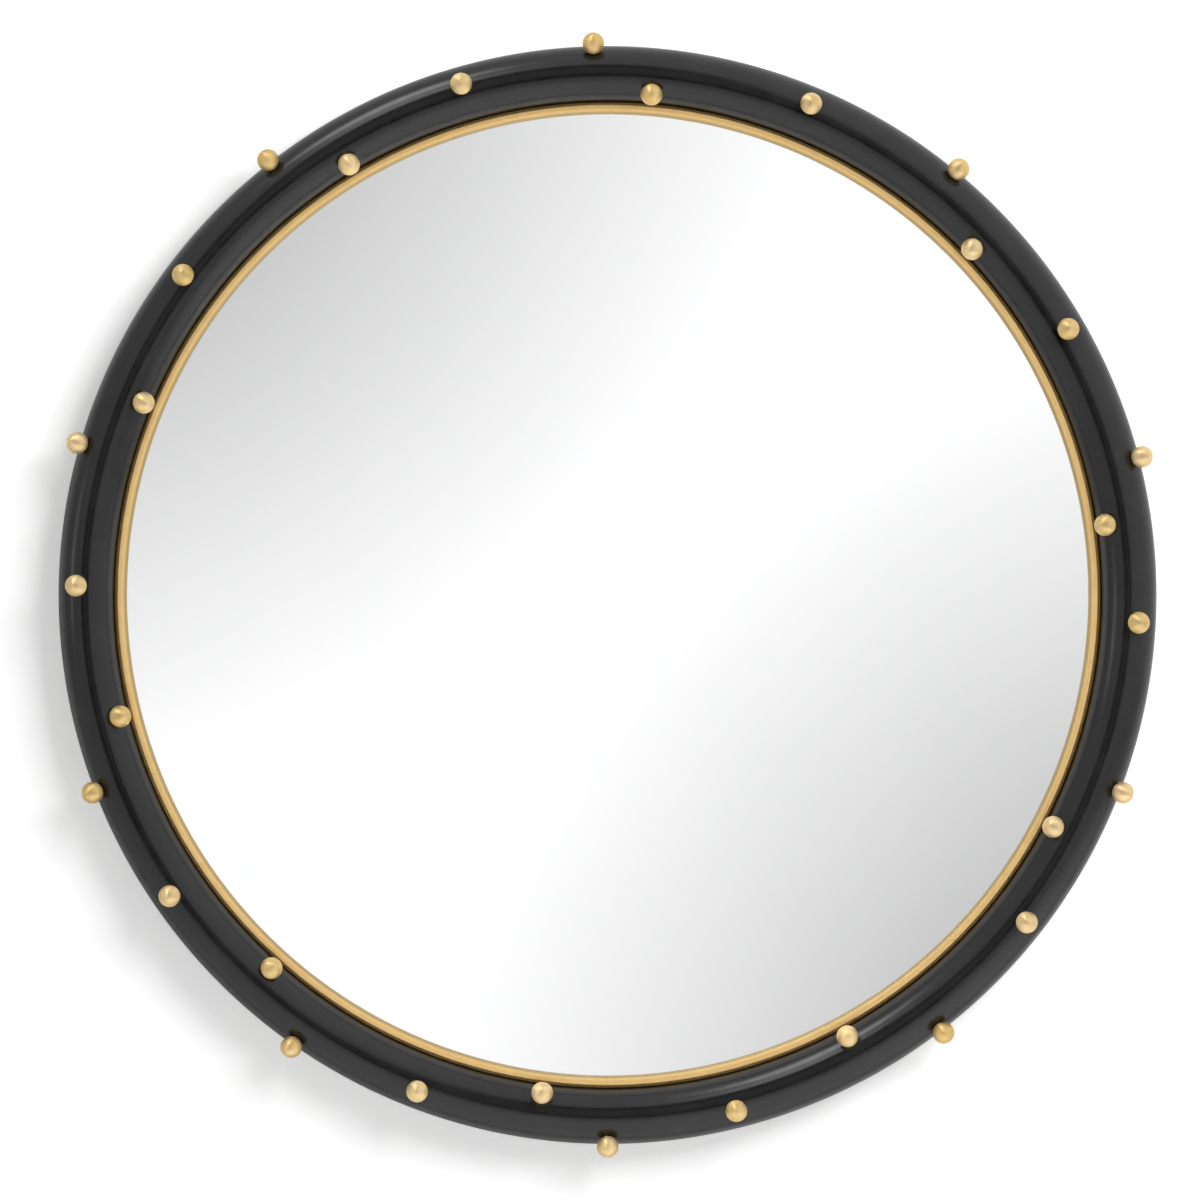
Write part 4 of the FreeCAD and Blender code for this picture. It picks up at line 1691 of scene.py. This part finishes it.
@dataclass(frozen=True)
class StudioWhite(Finish):
    """Pale wall or floor: lit by the lamps, brightened to white for the camera, and clear from behind.

    Attributes:
        name: Name of the finish.
        gloss_glow: Brightness of its own, seen in gloss.
        glow: Brightness of its own for the camera, in the lamps' light near the mirror and far from it.
        lit_reach: Distances from the mirror's axis where the near brightness ends and the far one is full.
        paint: Colour of the wall or floor.
        dulled: Colour where the paint is a trace duller.
        grain: Duller places per metre.
        grain_span: Part of their pattern over which the paint turns duller.
    """

    name: str
    gloss_glow: float = 0.0
    glow: Span = (0.39, 1.0)
    lit_reach: Span = (0.8, 1.4)
    paint: Colour = (0.90, 0.90, 0.90)
    dulled: Colour = (0.8992, 0.8992, 0.8992)
    grain: float = 3.0
    grain_span: Span = (0.2, 0.8)

    def shade(self, bench: NodeBench) -> None:
        """Fill the finish's node tree.

        Args:
            bench: The tree to fill.
        """
        path = bench.node("ShaderNodeLightPath").outputs
        gloss = bench.math("MULTIPLY", path["Is Glossy Ray"], self.gloss_glow)
        glow = bench.ease(bench.axis_distance(), self.lit_reach, self.glow)
        strength = bench.math("MULTIPLY_ADD", path["Is Camera Ray"], glow, gloss)
        dull = bench.ease(bench.noise(bench.place(), self.grain), self.grain_span)
        paint = bench.node("ShaderNodeBsdfDiffuse", {"Color": bench.mix(dull, self.paint, self.dulled)})
        light = bench.node("ShaderNodeEmission", {"Strength": strength})
        front = bench.node("ShaderNodeAddShader", {0: paint.outputs[0], 1: light.outputs[0]})
        behind = bench.node("ShaderNodeNewGeometry").outputs["Backfacing"]
        clear = bench.node("ShaderNodeBsdfTransparent")
        both = bench.node("ShaderNodeMixShader", {0: behind, 1: front.outputs[0], 2: clear.outputs[0]})
        bench.node("ShaderNodeOutputMaterial", {"Surface": both.outputs[0]})

    def make(self) -> bpy.types.Material:
        """Build the finish, and don't sample it as a lamp.

        Returns:
            The material.
        """
        material = super().make()
        material.cycles.emission_sampling = "NONE"
        return material


@dataclass(frozen=True)
class Lamp:
    """Square lamp that shines at the mirror's middle and doesn't show in gloss.

    Attributes:
        name: Name of the lamp.
        place: Where it hangs.
        side: Its side.
        power: Its power in watts.
    """

    name: str
    place: tuple[float, float, float]
    side: float
    power: float

    def hang(self) -> None:
        """Hang the lamp in the studio."""
        light = bpy.data.lights.new(self.name, "AREA")
        light.size = self.side
        light.energy = self.power
        lamp = link_object(self.name, light)
        lamp.location = self.place
        lamp.rotation_euler = (-Vector(self.place)).to_track_quat("-Z", "Y").to_euler()
        lamp.visible_glossy = False


@dataclass
class Studio:
    """Wall, floor, light and camera round the mirror.

    Attributes:
        ring: The moulding, which scales the picture.
        image_side: Side of the picture in pixels.
        ring_pixels: Radius of the moulding in the picture.
        ring_middle: Middle of the moulding in the picture.
        distance: Camera to the roll's widest plane.
        sensor: Width of the camera's sensor in millimetres.
        wall_gap: Distance of the wall behind the panel.
        wall_hole: Opening in the wall, hidden behind the mirror.
        wall_reach: Radius of the wall.
        floor_level: Height of the floor.
        floor_gloss: Brightness of the floor, seen in gloss.
        ambient: Even light on dull surfaces.
        gloss_level: Brightness that gloss sees at the sides, and its rise towards the lit side.
        lit_clock: Clock angle of the lit side.
        openings: Dark doorway that gloss sees behind the camera, and the dim light inside it.
        glows: Lights seen in gloss.
        glass_level: Brightness that the glass gives back where no grey end is.
        least_ahead: Smallest forward part of a direction, where its slopes are worked out.
        grey_fields: Grey ends seen in the glass.
        lamps: A lamp in front, at the upper right, and one behind.
    """

    ring: RingMoulding
    image_side: int = 1200
    ring_pixels: float = 548.96
    ring_middle: Corner = (607.65, 594.94)
    distance: float = 5.0
    sensor: float = 36.0
    wall_gap: float = 0.008
    wall_hole: float = 0.44
    wall_reach: float = 8.0
    floor_level: float = -1.45
    floor_gloss: float = 0.45
    ambient: float = 0.22
    gloss_level: Span = (0.78, 0.28)
    lit_clock: float = 50.0
    openings: Sequence[Opening] = (
        Opening(azimuth=-5.5, elevation=12.0, half_width=14.0, half_height=24.0, strength=-0.8),
        Opening(azimuth=-5.5, elevation=11.5, half_width=8.0, half_height=13.0, strength=0.38),
    )
    glows: Sequence[Glow] = (
        Glow(tilt=64.0, clock=114.0, core=3.0, fade=14.0, strength=4.5),
        Glow(tilt=44.0, clock=112.0, core=2.0, fade=10.0, strength=2.5),
        Glow(tilt=60.0, clock=176.0, core=2.0, fade=9.0, strength=1.2),
    )
    glass_level: float = 1.05
    least_ahead: float = 0.02
    grey_fields: Sequence[GreyField] = (GreyField(clock=138.0), GreyField(clock=318.0, aside=0.005))
    lamps: Sequence[Lamp] = (
        Lamp("key_lamp", (1.63, -2.26, 1.57), side=1.8, power=93.0),
        Lamp("rear_lamp", (0.9, 2.7, 1.7), side=1.6, power=75.0),
    )

    def studio_gloss(self, bench: NodeBench, gaze: Gaze) -> Socket:
        """Brightness of the studio as satin surfaces see it.

        Args:
            bench: The world's node tree.
            gaze: Direction that is looked in.

        Returns:
            The brightness.
        """
        level, rise = self.gloss_level
        lit = bench.measure("DOT_PRODUCT", gaze.way, spoke(self.lit_clock))
        brightness = bench.math("MULTIPLY_ADD", lit, rise, level)
        for light in (*self.openings, *self.glows):
            brightness = bench.math("ADD", brightness, light.seen(bench, gaze))
        return brightness

    def studio_in_glass(self, bench: NodeBench, gaze: Gaze) -> Socket:
        """Brightness of the studio as the silvered glass gives it back.

        Args:
            bench: The world's node tree.
            gaze: Direction that is looked in.

        Returns:
            The brightness.
        """
        depth = bench.math("MAXIMUM", gaze.ahead, self.least_ahead)
        slopes = {"X": bench.math("DIVIDE", gaze.across, depth), "Y": bench.math("DIVIDE", gaze.up, depth)}
        spot = bench.node("ShaderNodeCombineXYZ", slopes).outputs[0]
        brightness = self.glass_level
        for grey in self.grey_fields:
            brightness = bench.math("SUBTRACT", brightness, grey.loss(bench, spot))
        return brightness

    def build_world(self) -> None:
        """Make the light that comes from all round."""
        world = bpy.data.worlds.new("studio")
        bpy.context.scene.world = world
        world.use_nodes = True
        world.cycles.sampling_method = "NONE"
        bench = NodeBench(world.node_tree)
        way = bench.node("ShaderNodeTexCoord").outputs["Generated"]
        parts = bench.node("ShaderNodeSeparateXYZ", {0: way}).outputs
        gaze = Gaze(way, parts["X"], bench.math("MULTIPLY", parts["Y"], -1.0), parts["Z"])
        path = bench.node("ShaderNodeLightPath").outputs
        strength = bench.pick(path["Is Glossy Ray"], self.studio_gloss(bench, gaze), self.ambient)
        strength = bench.pick(path["Is Singular Ray"], self.studio_in_glass(bench, gaze), strength)
        strength = bench.pick(path["Is Camera Ray"], 1.0, strength)
        sky = bench.node("ShaderNodeBackground", {"Color": (1.0, 1.0, 1.0), "Strength": strength})
        bench.node("ShaderNodeOutputWorld", {"Surface": sky.outputs[0]})

    def build_stage(self) -> None:
        """Make the wall and the floor."""
        section = [(self.wall_hole, self.wall_gap), (self.wall_reach, self.wall_gap)]
        backdrop = Turning(section, closed=False, segments=96).piece("wall", StudioWhite("wall_paint"))
        if backdrop.data.polygons[0].normal.y > 0.0:
            backdrop.data.flip_normals()
        reach = self.wall_reach
        corners = [(-reach, -reach), (reach, -reach), (reach, reach), (-reach, reach)]
        floor_mesh = bpy.data.meshes.new("floor")
        floor_mesh.from_pydata([(x, y, self.floor_level) for x, y in corners], [], [(0, 1, 2, 3)])
        floor_mesh.materials.append(StudioWhite("floor_paint", self.floor_gloss).make())
        link_object("floor", floor_mesh)

    def build_camera(self) -> None:
        """Stand the camera square in front, so that the moulding has its place in the picture."""
        scale = self.ring.outer_radius / self.ring_pixels
        half = self.image_side / 2.0
        across = (half - self.ring_middle[0]) * scale
        height = (self.ring_middle[1] - half) * scale
        lens = bpy.data.cameras.new("camera")
        lens.sensor_width = self.sensor
        lens.lens = self.sensor * self.distance / (self.image_side * scale)
        camera = link_object("camera", lens)
        camera.location = (across, self.ring.roll_plane - self.distance, height)
        camera.rotation_euler = (math.radians(90.0), 0.0, 0.0)
        bpy.context.scene.camera = camera

    def build(self) -> None:
        """Set up the whole studio."""
        bpy.context.scene.view_settings.view_transform = "Standard"
        self.build_world()
        self.build_stage()
        for lamp in self.lamps:
            lamp.hang()
        self.build_camera()


def dress_pins() -> None:
    """Give the balls' pins, which stay inside the wood and the balls, their plate."""
    pins = frame["nodes"]["ball_pins"]
    pins.data.materials.clear()
    pins.data.materials.append(ZINC_PLATE.make())


def main() -> None:
    """Build every piece in order, then the studio."""
    logging.basicConfig(level=logging.INFO, format="%(name)s: %(message)s")
    ring = RingMoulding.from_frame()
    glass = MirrorPlate.from_frame()
    panel_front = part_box("back_panel")[0].y
    ring.build()
    BrassLiner(ring, glass.front).build()
    glass.build()
    CushionPads(glass, panel_front).build()
    BallStuds(ring).build()
    dress_pins()
    BackPanel(ring).build()
    Hangers().build()
    for side in Side:
        Bumper(side).build()
    Studio(ring).build()


if __name__ == "__main__":
    main()
